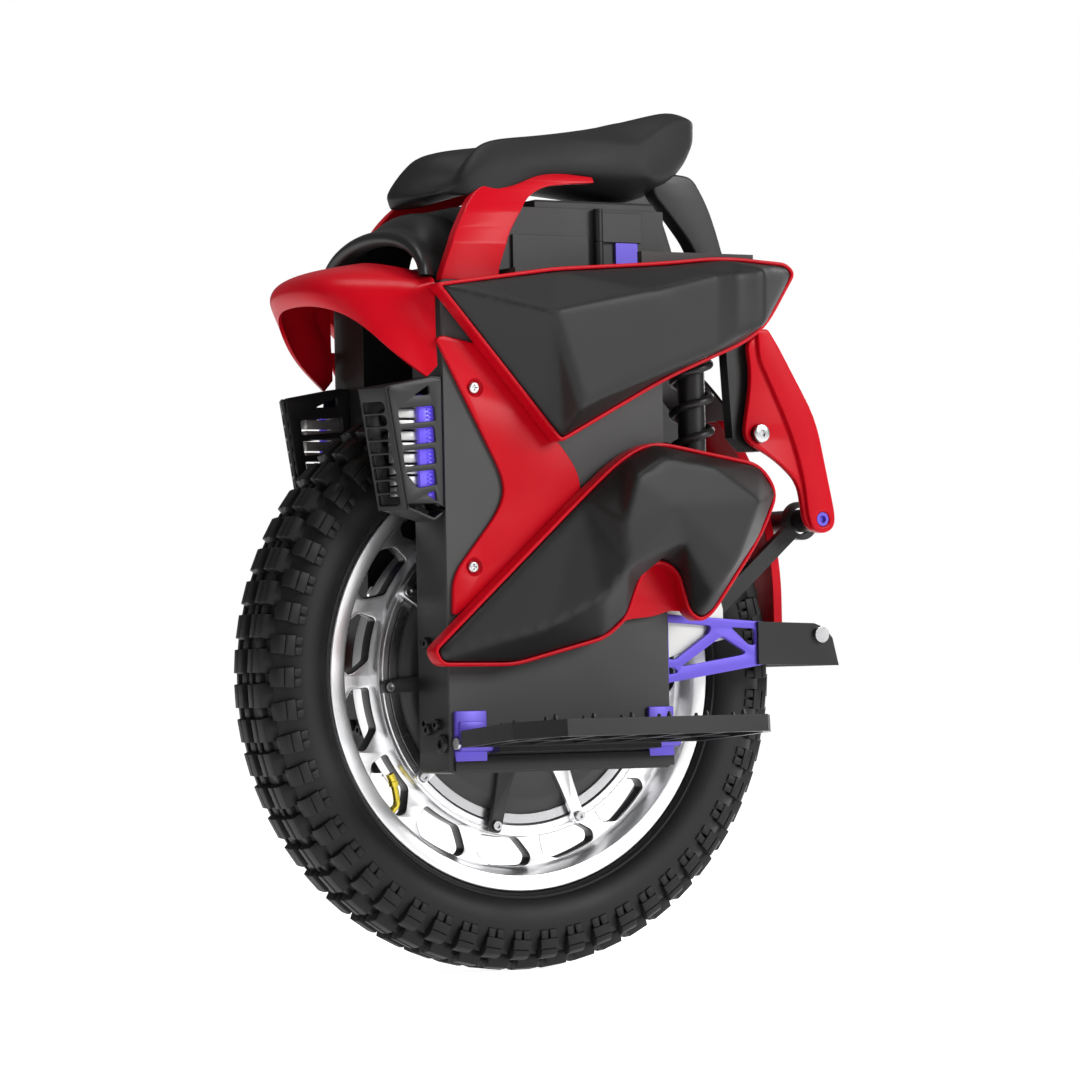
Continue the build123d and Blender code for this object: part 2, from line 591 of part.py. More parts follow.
def cowl():
    """Beak-like front cowl: open below and behind, with a pointed tip on each side."""
    def hull(trim, x0, x1, drop):
        near = [(-LEG_OUT + trim, 500 - drop), (-LEG_OUT + trim, 576 - trim), (-66, 592 - trim), (0, 597 - trim),
                (66, 592 - trim), (LEG_OUT - trim, 576 - trim), (LEG_OUT - trim, 500 - drop)]
        nose_y = COWL_NOSE[1] - trim
        far = [(-nose_y, 557 - drop), (-nose_y - 1, 575 - trim), (-26, 581 - trim), (0, 582 - trim),
               (26, 581 - trim), (nose_y + 1, 575 - trim), (nose_y, 557 - drop)]
        sections = [make_face(Polyline(*[(x, y, z) for y, z in loop], close=True))
                    for x, loop in ((x0, near), (x1, far))]
        return loft(sections, ruled=True)

    shell = hull(0, LEG_X1, COWL_NOSE[0], 0) - hull(COWL_T, LEG_X1 - 1, COWL_NOSE[0] - COWL_T, 30)
    mouth_gap = block(LEG_X1 - 1, MOUTH_X1 + 1, -ARM_SPAN[0] - 8, ARM_SPAN[0] + 8, 560, 620)
    below_tips = side_plate([(COWL_TIP[0], COWL_TIP[1]), (LEG_X1 - 1, COWL_TIP[1] + 18), (LEG_X1 - 1, 480),
                             (COWL_TIP[0] + 30, 480)], -LEG_OUT - 1, LEG_OUT + 1)
    return shell - mouth_gap - below_tips


keep("front_cowl", cowl())

POD_SIDE = [(LEG_X1, 499), (177, 489), (165, 389), (143, 378), (118, 382), (LEG_X1, 392)]
POD_Y = (68.0, 94.0)
POD_WALL = 3.0
POD_SLOTS = 8


def pod_cage():
    """Hollow vent box with stacked slots in front and barred windows on both sides."""
    cage = side_plate(POD_SIDE, *POD_Y)
    inside = [(LEG_X1 - 1, 499 - POD_WALL), (177 - POD_WALL, 489 - POD_WALL), (165 - POD_WALL, 389 + POD_WALL),
              (143, 378 + POD_WALL), (118, 382 + POD_WALL), (LEG_X1 - 1, 392 + POD_WALL)]
    cage -= side_plate(inside, POD_Y[0] + POD_WALL, POD_Y[1] - POD_WALL)
    for index in range(POD_SLOTS):
        z = 396 + index * 11.2
        x = 165 + (z - 389) * 0.12
        cage -= block(x - 8, x + 6, POD_Y[0] + 5, POD_Y[1] - 5, z - 3.8, z + 3.8)
    window = [(LEG_X1 + 8, 482), (155, 474), (150, 430), (130, 408), (LEG_X1 + 8, 398)]
    bars = [block(LEG_X1, 178, POD_Y[0], POD_Y[1], z - 1.5, z + 1.5) for z in (416, 432, 448, 464)]
    opening = side_plate(window, POD_Y[0] - 1, POD_Y[1] + 1)
    for bar in bars:
        opening -= bar
    return cage - opening


keep_pair("vent_pods", pod_cage())
keep_pair("pod_heat_sinks", block(LEG_X1, 127, 73, 82, 408, 474))
light_ys = (POD_Y[1] - POD_WALL - 6, POD_Y[1] - POD_WALL - 1)
strip = block(LEG_X1, 129, *light_ys, 404, 476)
for index in range(16):
    strip -= block(118, 126, light_ys[1] - 1, light_ys[1] + 1, 408 + index * 4, 409 + index * 4)
keep_pair("pod_light_strips", strip)

# ---------------------------------------------------------------- seat

SEAT_BOTTOM = [(80, 655), (30, 669), (-27, 677), (-108, 673), (-149, 682), (-172, 714)]
SEAT_TOP = [(-175, 723), (-155, 738), (-28, 713), (2, 708), (36, 704), (60, 691)]
cushion = side_plate(SEAT_BOTTOM + SEAT_TOP, -SEAT_HALF_W, SEAT_HALF_W)
keep("seat_cushion", cushion)
base_top = [(x, z - GAP) for x, z in SEAT_BOTTOM[1:5]]
base = side_plate(base_top + [(x, z - 6) for x, z in base_top[::-1]], 4 - ARM_SPAN[0], ARM_SPAN[0] - 4)
keep("seat_base", base)
ARM_OUTLINE = [(ARM_FOOT[1], LEG_Z1), (93, 612), (62, 659), (30, 668), (-18, 675), (-18, 667), (-4, 662),
               (8, 652), (35, 616), (ARM_FOOT[0], 592), (ARM_FOOT[0], LEG_Z1)]


def seat_arm():
    """Horn-shaped arm, upright on the leg and leaning in towards the seat."""
    blank = side_plate(ARM_OUTLINE, ARM_SPAN[0] - 24, ARM_SPAN[1] + 20)
    lean = [(ARM_SPAN[0], LEG_Z1), (ARM_SPAN[1], LEG_Z1), (ARM_SPAN[1] - 2, 612), (ARM_SPAN[0] + 8, 678),
            (ARM_SPAN[0] - 4, 678), (ARM_SPAN[0] - 4, 655), (ARM_SPAN[0], 600)]
    slab = extrude(Pos(-60, 0, 0) * make_face(Polyline(*[(0, y, z) for y, z in lean], close=True)),
                   amount=200, dir=(1, 0, 0))
    return blank & slab


keep_pair("seat_arms", seat_arm())
strut = side_plate([(-149, 675.7), (-172, 676), (-198, 622), (-198, DECK_TOP), (-178, DECK_TOP), (-176, 622)], 30, 48)
keep_pair("rear_seat_struts", strut)

# ---------------------------------------------------------------- shocks, rocker and links

shock_top = rod_z(SHOCK_X, SHOCK_Y, COIL_R + 1, SHOCK_TOP_Z, SHOCK_TOP_Z + SEAT_T)
shock_top += rod_z(SHOCK_X, SHOCK_Y, SHOCK_BODY_R, 432, SHOCK_TOP_Z)
shock_top += block(SHOCK_X - 12, SHOCK_X + 12, SHOCK_Y - 12, SHOCK_Y + 12, SHOCK_TOP_Z + SEAT_T, LEG_Z1)
shock_top -= rod_z(SHOCK_X, SHOCK_Y, SHOCK_ROD_R + FIT, 430, 545)
keep_pair("shock_bodies", shock_top)

coil_h = SHOCK_TOP_Z - SHOCK_SEAT_Z - SEAT_T - 2 * GAP


def coil():
    """Open helical spring between the two seats."""
    path = Helix(pitch=(coil_h - 2 * WIRE_R) / COIL_TURNS, height=coil_h - 2 * WIRE_R, radius=COIL_R - WIRE_R)
    section = Plane(origin=path @ 0, z_dir=path % 0) * Circle(WIRE_R)
    wire = sweep(section, path=path, is_frenet=True)
    return Pos(SHOCK_X, SHOCK_Y, SHOCK_SEAT_Z + SEAT_T + GAP + WIRE_R) * wire


keep_pair("coil_springs", coil())

BRACKET_Y = (66.0, 78.0)
pivot_bracket = side_plate([(-176, LEG_Z1), (DECK_X0, LEG_Z1), (-224, 470), (-224, 448), (-212, 440), (-196, 440),
                            (-184, 452), (-182, 480)], *BRACKET_Y)
pivot_bracket += rod_y(*PIVOT, 7, BRACKET_Y[1], ARM_OUT + GAP)
pivot_bracket -= rod_y(*PIVOT, 3 + FIT, ARM_OUT - 12, ARM_OUT + 1)
keep_pair("pivot_brackets", pivot_bracket)

ROCKER = [(-214, 546), (-225, 530), (-262, 468), (-280, 384), (-276, 373), (-267, 369), (-256, 372), (-250, 380),
          (-245, 413), (-222, 433), (-194, 447), (-190, 456), (-199, 504), (-195, 533)]
ROCKER_RIB = [(-214, 546), (-225, 530), (-262, 468), (-280, 384), (-276, 373), (-267, 369), (-256, 372),
              (-252, 384), (-248, 420), (-236, 458), (-205, 520), (-203, 544)]


def rocker_arm():
    """Painted arm with a raised outer rail along its back edge."""
    arm = side_plate(ROCKER, ARM_IN, ARM_OUT - 4) + side_plate(ROCKER_RIB, ARM_IN, ARM_OUT)
    arm -= rod_y(*PIVOT, 7 + FIT, ARM_IN - 1, ARM_OUT + 1)
    return arm - rod_y(*LOW_BOLT, 6, ARM_IN - 1, ARM_OUT + 1)


keep_pair("rocker_arms", rocker_arm())
keep("cross_tube", rod_y(*LOW_BOLT, CROSS_R, -ARM_IN, ARM_IN) - rod_y(*LOW_BOLT, 6, -ARM_IN - 1, ARM_IN + 1))
low_bolt = rod_y(*LOW_BOLT, 6, ARM_IN - 30, ARM_OUT - 1) - rod_y(*LOW_BOLT, 3.2, ARM_OUT - 4, ARM_OUT + 1)
keep_pair("rocker_bolts", low_bolt)

LINK_Y = (lug_y0 - 9.5, lug_y0 - 1.5)


def push_link():
    """Flat link from the slider's pin to a loose eye round the cross tube."""
    eye_r = CROSS_R + OPEN_PIVOT_GAP
    link = rod_y(*LINK_PIN, LINK_PIN_R + 6, *LINK_Y) + rod_y(*LOW_BOLT, eye_r + 5, *LINK_Y)
    along = Vector(LOW_BOLT[0] - LINK_PIN[0], LOW_BOLT[1] - LINK_PIN[1]).normalized()
    side = Vector(-along.Y, along.X) * 7
    ends = (Vector(*LINK_PIN), Vector(*LOW_BOLT))
    corners = [ends[0] + side, ends[1] + side, ends[1] - side, ends[0] - side]
    link += side_plate([(corner.X, corner.Y) for corner in corners], *LINK_Y)
    link -= rod_y(*LINK_PIN, LINK_PIN_R + FIT, LINK_Y[0] - 1, LINK_Y[1] + 1)
    return link - rod_y(*LOW_BOLT, eye_r, LINK_Y[0] - 1, LINK_Y[1] + 1)


keep_pair("push_links", push_link())

# ---------------------------------------------------------------- tail

TRUSS_Y = (73.5, 78.0)
TAIL_Y = (78.0, 81.0)
TAIL_BOLT = (-guard_out - 5 - GAP, 281.0)


def truss():
    """Open bracket from the back of the leg to the tail plate, cut to two bars and a web."""
    plate = side_plate([(LEG_X0, 301), (-212, 293), (-212, 256), (LEG_X0, 240)], *TRUSS_Y)
    plate -= side_plate([(LEG_X0 - 5, 293), (-158, 289), (-158, 285), (-122, 262), (LEG_X0 - 5, 256)],
                        TRUSS_Y[0] - 1, TRUSS_Y[1] + 1)
    plate -= side_plate([(-168, 286), (-204, 284), (-204, 266), (-184, 268)], TRUSS_Y[0] - 1, TRUSS_Y[1] + 1)
    plate -= side_plate([(-162, 276), (-176, 262), (-140, 257)], TRUSS_Y[0] - 1, TRUSS_Y[1] + 1)
    return plate + block(LEG_X0 - 4, LEG_X0, TRUSS_Y[0], LEG_OUT - 4, 240, 301)


keep_pair("tail_trusses", truss())
tail_side = side_plate([(-204, 293), (-262, 291), (-273, 287), (-281, 278), (-287, 254), (-204, 256)], *TAIL_Y)
tail_side -= rod_y(*TAIL_BOLT, 5, TAIL_Y[0] - 1, TAIL_Y[1] + 1)
cross_wall = side_plate([(-287, 254), (-281, 277), (-278, 277), (-284, 254)], -TAIL_Y[1], TAIL_Y[1])
keep("tail_plate", tail_side + mirror(tail_side, about=Plane.XZ) + cross_wall)
tail_rod = rod_y(*TAIL_BOLT, 5, -TAIL_Y[1] - 0.5, TAIL_Y[1] + 0.5)
for side in (1, -1):
    head_y = sorted((side * (TAIL_Y[1] + 0.5), side * (TAIL_Y[1] + 4)))
    tail_rod += rod_y(*TAIL_BOLT, 7, *head_y)
keep("tail_bolt", tail_rod)

# ---------------------------------------------------------------- pedals

HANGER_TOP = 222.0


def hanger():
    """Bar along the bottom of the leg with a lug at each end of the pedal."""
    bar = block(LUG_REAR[0], LUG_FRONT[1], LEG_OUT, LEG_OUT + 4, LEG_Z0 + 2, HINGE_Z - 10)
    for x0, x1 in (LUG_FRONT, LUG_REAR):
        bar += block(x0, x1, LEG_OUT, LEG_OUT + 4, LEG_Z0 + 2, HANGER_TOP)
        bar += block(x0, x1, LEG_OUT, HINGE_Y, HINGE_Z - 7, HINGE_Z + 7) + rod_x(HINGE_Y, HINGE_Z, 7, x0, x1)
    return bar - rod_x(HINGE_Y, HINGE_Z, HINGE_R, LEG_X0 - 20, LEG_X1 + 20)


def pedal():
    """Folding footboard: skin, edge walls and ribs below, hub between the lugs."""
    reach = PEDAL_REACH
    top = PEDAL_TOP
    shape = Polyline((PEDAL_X0, 11), (PEDAL_X0, reach - 18), (PEDAL_X0 + 14, reach), (PEDAL_X1 - 34, reach),
                     (PEDAL_X1, reach - 30), (PEDAL_X1 - 6, 11), close=True)
    face = make_face(shape)
    body = extrude(Pos(0, 0, top - 5) * face, amount=5, dir=(0, 0, 1))
    wall = face - offset(face, amount=-6, kind=Kind.INTERSECTION)
    body += extrude(Pos(0, 0, top - 14) * wall, amount=14, dir=(0, 0, 1))
    for x in (-80, -38, 4, 46, 84):
        body += block(x - 3, x + 3, 12, reach - 3, top - 13, top - 2)
    body += block(PEDAL_X0 + 3, PEDAL_X1 - 12, 60, 66, top - 13, top - 2)
    hub_r = 8.5
    hub = rod_x(0, 0, hub_r, LUG_REAR[1] + GAP, LUG_FRONT[0] - GAP)
    hub += block(LUG_REAR[1] + GAP, LUG_FRONT[0] - GAP, 0, 14, -hub_r, hub_r)
    body += hub
    body -= rod_x(0, 0, HINGE_R + FIT, PEDAL_X0, PEDAL_X1)
    return Pos(0, HINGE_Y, HINGE_Z) * Rot(PEDAL_TILT, 0, 0) * body


def studs():
    """Grip studs that stand on the pedal's top."""
    stud = Cone(2.2, 1.0, 5)
    rows = []
    for row, y in enumerate((24, 60, 96, 126)):
        for index in range(6):
            x = -100 + index * 36 + 9 * (row % 2)
            rows.append(Pos(0, HINGE_Y, HINGE_Z) * Rot(PEDAL_TILT, 0, 0) * Pos(x, y, PEDAL_TOP + 2.5) * stud)
    return rows


keep_pair("pedal_hangers", hanger())
keep_sides("pedal", pedal())
keep_pair("pedal_pins", rod_x(HINGE_Y, HINGE_Z, HINGE_R, LUG_REAR[0] - 3, LUG_FRONT[1] + 3))
keep_sides("pedal_studs", *studs())

for name, shape in parts.items():
    export_step(shape, os.path.join("parts", name + ".step"))
print(len(parts), "nodes")
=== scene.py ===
# %% [markdown]
# The unicycle stands on one knobbly wheel between two legs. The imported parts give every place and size,
# so they are loaded first, and each piece made here is laid over the part that it stands for.
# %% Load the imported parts
import json
from contextlib import contextmanager
from math import cos, sin, pi, radians

import bmesh
import bpy
from mathutils import Matrix, Vector


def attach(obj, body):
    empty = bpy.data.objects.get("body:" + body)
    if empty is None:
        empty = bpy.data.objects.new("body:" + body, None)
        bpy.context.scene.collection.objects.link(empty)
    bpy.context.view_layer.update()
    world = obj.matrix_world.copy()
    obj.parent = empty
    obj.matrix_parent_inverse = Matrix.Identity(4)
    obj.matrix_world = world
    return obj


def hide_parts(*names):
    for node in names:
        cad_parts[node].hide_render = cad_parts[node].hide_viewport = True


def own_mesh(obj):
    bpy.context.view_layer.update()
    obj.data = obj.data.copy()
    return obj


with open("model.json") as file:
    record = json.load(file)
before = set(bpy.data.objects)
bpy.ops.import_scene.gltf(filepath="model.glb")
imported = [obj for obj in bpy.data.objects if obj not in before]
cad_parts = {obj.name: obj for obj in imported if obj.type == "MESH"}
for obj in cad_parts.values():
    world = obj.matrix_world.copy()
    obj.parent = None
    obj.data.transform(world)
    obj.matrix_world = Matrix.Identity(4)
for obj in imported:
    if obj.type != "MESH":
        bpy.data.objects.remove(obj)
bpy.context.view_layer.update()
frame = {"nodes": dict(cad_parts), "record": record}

MM = 0.001
scene = bpy.context.scene


# %% [markdown]
# A long lens from four metres keeps the unicycle's lines nearly parallel, as in a studio picture.
# The camera looks from the front left, almost level with the axle, and leans by about one degree.
# %% Place the camera
CAMERA_PLACE = (2.0048, 3.4613, 0.2399)
CAMERA_RIGHT = Vector((-0.86168, 0.50700, -0.02111))
CAMERA_UP = Vector((-0.00216, 0.03793, 0.99928))

lens = bpy.data.cameras.new("studio_camera")
lens.lens = 155.7
lens.sensor_width = 36
camera = bpy.data.objects.new("studio_camera", lens)
scene.collection.objects.link(camera)
turn = Matrix((CAMERA_RIGHT, CAMERA_UP, CAMERA_RIGHT.cross(CAMERA_UP))).transposed().to_4x4()
camera.matrix_world = Matrix.Translation(CAMERA_PLACE) @ turn
scene.camera = camera
print("camera at", [round(value, 2) for value in CAMERA_PLACE])


# %% [markdown]
# Soft studio light comes from large panels. The main panel stands behind the camera's right shoulder,
# so faces that look back are bright and faces that look forwards fall dark. The others only draw edges.
# %% Light the studio
def light_panel(name, place, target, size, power):
    """A large soft square light that faces a point."""
    panel = bpy.data.lights.new(name, "AREA")
    panel.shape = "SQUARE"
    panel.size = size
    panel.energy = power
    holder = bpy.data.objects.new(name, panel)
    scene.collection.objects.link(holder)
    holder.location = place
    holder.rotation_euler = (Vector(target) - Vector(place)).to_track_quat("-Z", "Y").to_euler()
    return holder


BODY_CENTRE = (0.0, 0.0, 0.38)
light_panel("key_panel", (-3.0, 4.6, 2.7), BODY_CENTRE, 2.4, 215)
light_panel("front_panel", (3.4, 1.4, 1.2), BODY_CENTRE, 1.6, 5)
light_panel("top_panel", (0.2, 0.4, 3.6), BODY_CENTRE, 1.4, 42)
light_panel("back_panel", (-3.0, -1.6, 1.4), BODY_CENTRE, 1.4, 42)

AIR_LIGHT = 0.16
world = bpy.data.worlds.new("studio_air")
scene.world = world
world.use_nodes = True
tree = world.node_tree
background = tree.nodes["Background"]
background.inputs["Color"].default_value = (1, 1, 1, 1)
path = tree.nodes.new("ShaderNodeLightPath")
glow = tree.nodes.new("ShaderNodeMapRange")
glow.inputs["To Min"].default_value = AIR_LIGHT
glow.inputs["To Max"].default_value = 1.0
tree.links.new(path.outputs["Is Camera Ray"], glow.inputs["Value"])
tree.links.new(glow.outputs["Result"], background.inputs["Strength"])
scene.view_settings.view_transform = "Standard"


# %% [markdown]
# Real finishes are never one flat value. Three effects are built once, as node groups that any finish can
# use: a fine grain for moulded and painted skins, a slow drift of tone, and lathe marks for turned metal.
# %% Shared surface effects
def new_group(name, inputs, outputs):
    """An empty shader node group with float inputs and float outputs."""
    group = bpy.data.node_groups.new(name, "ShaderNodeTree")
    for label, value in inputs:
        socket = group.interface.new_socket(label, in_out="INPUT", socket_type="NodeSocketFloat")
        socket.default_value = value
    for label in outputs:
        group.interface.new_socket(label, in_out="OUTPUT", socket_type="NodeSocketFloat")
    return group, group.nodes.new("NodeGroupInput"), group.nodes.new("NodeGroupOutput")


def noise_group(name, scale, detail):
    """A group that gives the height of a noise pattern fixed to the piece."""
    group, given, result = new_group(name, [("Scale", scale)], ["Height"])
    place = group.nodes.new("ShaderNodeTexCoord")
    noise = group.nodes.new("ShaderNodeTexNoise")
    noise.inputs["Detail"].default_value = detail
    group.links.new(place.outputs["Object"], noise.inputs["Vector"])
    group.links.new(given.outputs["Scale"], noise.inputs["Scale"])
    group.links.new(noise.outputs["Fac"], result.inputs["Height"])
    return group


def lathe_group():
    """Fine rings about the axle, as a turning tool leaves them."""
    group, given, result = new_group("lathe_marks", [("Rings", 900)], ["Height"])
    place = group.nodes.new("ShaderNodeTexCoord")
    move = group.nodes.new("ShaderNodeVectorMath")
    move.inputs[1].default_value = (0, 0, -0.2525)
    flat = group.nodes.new("ShaderNodeVectorMath")
    flat.operation = "MULTIPLY"
    flat.inputs[1].default_value = (1, 0, 1)
    reach = group.nodes.new("ShaderNodeVectorMath")
    reach.operation = "LENGTH"
    times = group.nodes.new("ShaderNodeMath")
    times.operation = "MULTIPLY"
    noise = group.nodes.new("ShaderNodeTexNoise")
    noise.noise_dimensions = "1D"
    noise.inputs["Scale"].default_value = 1
    noise.inputs["Detail"].default_value = 3
    group.links.new(place.outputs["Object"], move.inputs[0])
    group.links.new(move.outputs["Vector"], flat.inputs[0])
    group.links.new(flat.outputs["Vector"], reach.inputs[0])
    group.links.new(reach.outputs["Value"], times.inputs[0])
    group.links.new(given.outputs["Rings"], times.inputs[1])
    group.links.new(times.outputs["Value"], noise.inputs["W"])
    group.links.new(noise.outputs["Fac"], result.inputs["Height"])
    return group


def facing_mask_group():
    """A mask from each face's direction: one on faces across the axle, none on the walls."""
    group, given, result = new_group("dark_walls", [("Steepness", 0.85)], ["Mask"])
    place = group.nodes.new("ShaderNodeTexCoord")
    split = group.nodes.new("ShaderNodeSeparateXYZ")
    size = group.nodes.new("ShaderNodeMath")
    size.operation = "ABSOLUTE"
    above = group.nodes.new("ShaderNodeMath")
    above.operation = "GREATER_THAN"
    group.links.new(place.outputs["Normal"], split.inputs["Vector"])
    group.links.new(split.outputs["Y"], size.inputs[0])
    group.links.new(size.outputs["Value"], above.inputs[0])
    group.links.new(given.outputs["Steepness"], above.inputs[1])
    group.links.new(above.outputs["Value"], result.inputs["Mask"])
    return group


GRAIN = noise_group("skin_grain", 900, 3)
DRIFT = noise_group("tone_drift", 14, 2)
LATHE = lathe_group()
FACING_MASK = facing_mask_group()
print("effects:", [group.name for group in bpy.data.node_groups])


# %% [markdown]
# Every finish is one Principled shader. The drift group blends two close tones and two close
# roughnesses, and the grain or lathe group lifts the surface through a bump, so highlights break up softly.
# A bevel node rounds the sharp edges of the carried-over parts, which is where real edges catch light.
# %% Build the finishes
def mix_by(tree, mask, low, high):
    """A value that runs from low to high as the mask goes from 0 to 1."""
    node = tree.nodes.new("ShaderNodeMapRange")
    node.inputs["From Min"].default_value = 0.3
    node.inputs["From Max"].default_value = 0.7
    node.inputs["To Min"].default_value = low
    node.inputs["To Max"].default_value = high
    tree.links.new(mask, node.inputs["Value"])
    return node.outputs["Result"]


def make_finish(name, tone, rough, metal=0.0, relief=0.0, relief_scale=900, effect=None, tone_shift=0.12,
                edge=0.0006, dark_walls=False, **extra):
    """A procedural finish: base tone, roughness, relief and any fixed shader values."""
    material = bpy.data.materials.new(name)
    material.use_nodes = True
    tree = material.node_tree
    shader = tree.nodes["Principled BSDF"]
    drift = tree.nodes.new("ShaderNodeGroup")
    drift.node_tree = DRIFT
    drift.inputs["Scale"].default_value = 14
    ramp = tree.nodes.new("ShaderNodeValToRGB")
    ramp.color_ramp.elements[0].position = 0.3
    ramp.color_ramp.elements[1].position = 0.7
    ramp.color_ramp.elements[0].color = (*[part * (1 - tone_shift) for part in tone], 1)
    ramp.color_ramp.elements[1].color = (*[min(part * (1 + tone_shift), 1) for part in tone], 1)
    tree.links.new(drift.outputs["Height"], ramp.inputs["Fac"])
    # Faces that don't look across the axle, such as the walls of openings, take a fixed near-black colour.
    if dark_walls:
        wall_mask = tree.nodes.new("ShaderNodeGroup")
        wall_mask.node_tree = FACING_MASK
        wall_mask.inputs["Steepness"].default_value = 0.85
        shade = tree.nodes.new("ShaderNodeMix")
        shade.data_type = "RGBA"
        shade.inputs["A"].default_value = (0.035, 0.035, 0.035, 1)
        tree.links.new(wall_mask.outputs["Mask"], shade.inputs["Factor"])
        tree.links.new(ramp.outputs["Color"], shade.inputs["B"])
        tree.links.new(shade.outputs["Result"], shader.inputs["Base Color"])
    else:
        tree.links.new(ramp.outputs["Color"], shader.inputs["Base Color"])
    uneven = mix_by(tree, drift.outputs["Height"], rough * 0.92, rough * 1.08)
    tree.links.new(uneven, shader.inputs["Roughness"])
    shader.inputs["Metallic"].default_value = metal
    soft = tree.nodes.new("ShaderNodeBevel")
    soft.samples = 4
    soft.inputs["Radius"].default_value = edge
    if relief:
        group = tree.nodes.new("ShaderNodeGroup")
        group.node_tree = effect or GRAIN
        group.inputs[0].default_value = relief_scale
        bump = tree.nodes.new("ShaderNodeBump")
        bump.inputs["Strength"].default_value = 1.0
        bump.inputs["Distance"].default_value = relief
        tree.links.new(group.outputs["Height"], bump.inputs["Height"])
        tree.links.new(soft.outputs["Normal"], bump.inputs["Normal"])
        tree.links.new(bump.outputs["Normal"], shader.inputs["Normal"])
    else:
        tree.links.new(soft.outputs["Normal"], shader.inputs["Normal"])
    for label, value in extra.items():
        shader.inputs[label.replace("_", " ")].default_value = value
    return material


PINK = (1.0, 0.30, 0.48, 1)
FINISHES = {
    "red_paint": make_finish("red_paint", (0.60, 0.002, 0.012), 0.34, relief=0.00002, relief_scale=700,
                             tone_shift=0.05, Specular_IOR_Level=0.12, Coat_Weight=0.05, Coat_Roughness=0.16,
                             Sheen_Weight=0.05, Sheen_Roughness=0.3, Sheen_Tint=PINK),
    "panel_grey": make_finish("panel_grey", (0.048, 0.048, 0.048), 0.62, relief=0.00003, tone_shift=0.04),
    "black_plastic": make_finish("black_plastic", (0.012, 0.012, 0.0125), 0.40, relief=0.00004,
                                 Specular_IOR_Level=0.38),
    "pad_foam": make_finish("pad_foam", (0.014, 0.014, 0.014), 0.50, relief=0.00003, relief_scale=1300,
                            tone_shift=0.06, Specular_IOR_Level=0.34),
    "seat_skin": make_finish("seat_skin", (0.014, 0.014, 0.0145), 0.60, relief=0.00005, relief_scale=1100,
                             Specular_IOR_Level=0.3),
    "tyre": make_finish("tyre", (0.006, 0.006, 0.006), 0.52, relief=0.00006, relief_scale=500, tone_shift=0.2,
                        Specular_IOR_Level=0.3),
    "polished_alloy": make_finish("polished_alloy", (0.88, 0.88, 0.89), 0.30, metal=1.0, relief=0.000012,
                                  relief_scale=1500, effect=LATHE, tone_shift=0.03),
    "dark_walled_alloy": make_finish("dark_walled_alloy", (0.88, 0.88, 0.89), 0.32, metal=1.0, relief=0.000012,
                             relief_scale=1500, effect=LATHE, tone_shift=0.03, dark_walls=True),
    "cast_alloy": make_finish("cast_alloy", (0.50, 0.50, 0.49), 0.42, metal=0.9, relief=0.00006),
    "motor_black": make_finish("motor_black", (0.034, 0.034, 0.035), 0.48, relief=0.00004),
    "steel": make_finish("steel", (0.55, 0.55, 0.56), 0.28, metal=1.0, relief=0.00001, relief_scale=2500),
    "brass": make_finish("brass", (0.62, 0.50, 0.06), 0.26, metal=1.0, relief=0.00001),
    "violet_anodised": make_finish("violet_anodised", (0.13, 0.085, 0.62), 0.42, metal=0.25, relief=0.00002,
                                   tone_shift=0.05),
    "black_metal": make_finish("black_metal", (0.011, 0.011, 0.011), 0.36, relief=0.00003,
                               Specular_IOR_Level=0.35),
    "light_lens": make_finish("light_lens", (0.16, 0.10, 0.85), 0.2, Emission_Color=(0.2, 0.13, 1, 1),
                              Emission_Strength=0.25),
    "circuit_green": make_finish("circuit_green", (0.02, 0.16, 0.06), 0.4, relief=0.00003),
    "battery_wrap": make_finish("battery_wrap", (0.03, 0.08, 0.25), 0.3, relief=0.00003),
}
print(len(FINISHES), "finishes")


# %% [markdown]
# The parts that stay as they were packed take the finish of their own material slot.
# %% Paint the carried-over parts
for row in frame["record"]["subparts"]:
    part = frame["nodes"][row["node"]]
    finish = FINISHES[row["material_slot"]]
    for socket in part.material_slots:
        socket.material = finish
    if not part.material_slots:
        part.data.materials.append(finish)


# %% [markdown]
# The floor is a wide pale disc. It glows a little, as a floor lit from below does, so that it meets the
# white background without a dark horizon and still takes the soft shadow of the tyre. It throws less of that
# glow onto the pieces than the camera sees, so that faces near the ground stay dark.
# %% Lay the floor
FLOOR_GLOW = 0.92
FLOOR_BOUNCE = 0.35


def make_floor():
    """A wide pale disc."""
    rings = [(0.0, 0.0), (2.0, 0.0), (8.0, 0.0), (30.0, 0.0)]
    steps = 64
    spots = [(radius * cos(2 * pi * k / steps), radius * sin(2 * pi * k / steps), height)
             for radius, height in rings[1:] for k in range(steps)]
    spots.append((0, 0, 0))
    faces = [(len(spots) - 1, k, (k + 1) % steps) for k in range(steps)]
    for ring in range(len(rings) - 2):
        for k in range(steps):
            a, b = ring * steps + k, ring * steps + (k + 1) % steps
            faces.append((a, a + steps, b + steps, b))
    mesh = bpy.data.meshes.new("floor")
    mesh.from_pydata(spots, [], faces)
    mesh.shade_smooth()
    floor = bpy.data.objects.new("floor", mesh)
    scene.collection.objects.link(floor)
    finish = make_finish("pale_floor", (0.93, 0.93, 0.93), 0.7, tone_shift=0.0, edge=0.0001,
                         Emission_Color=(1, 1, 1, 1), Emission_Strength=FLOOR_GLOW)
    mesh.materials.append(finish)
    path = finish.node_tree.nodes.new("ShaderNodeLightPath")
    glow = finish.node_tree.nodes.new("ShaderNodeMapRange")
    glow.inputs["To Min"].default_value = FLOOR_GLOW
    glow.inputs["To Max"].default_value = FLOOR_BOUNCE
    shader = finish.node_tree.nodes["Principled BSDF"]
    finish.node_tree.links.new(path.outputs["Is Diffuse Ray"], glow.inputs["Value"])
    finish.node_tree.links.new(glow.outputs["Result"], shader.inputs["Emission Strength"])
    return floor


make_floor()


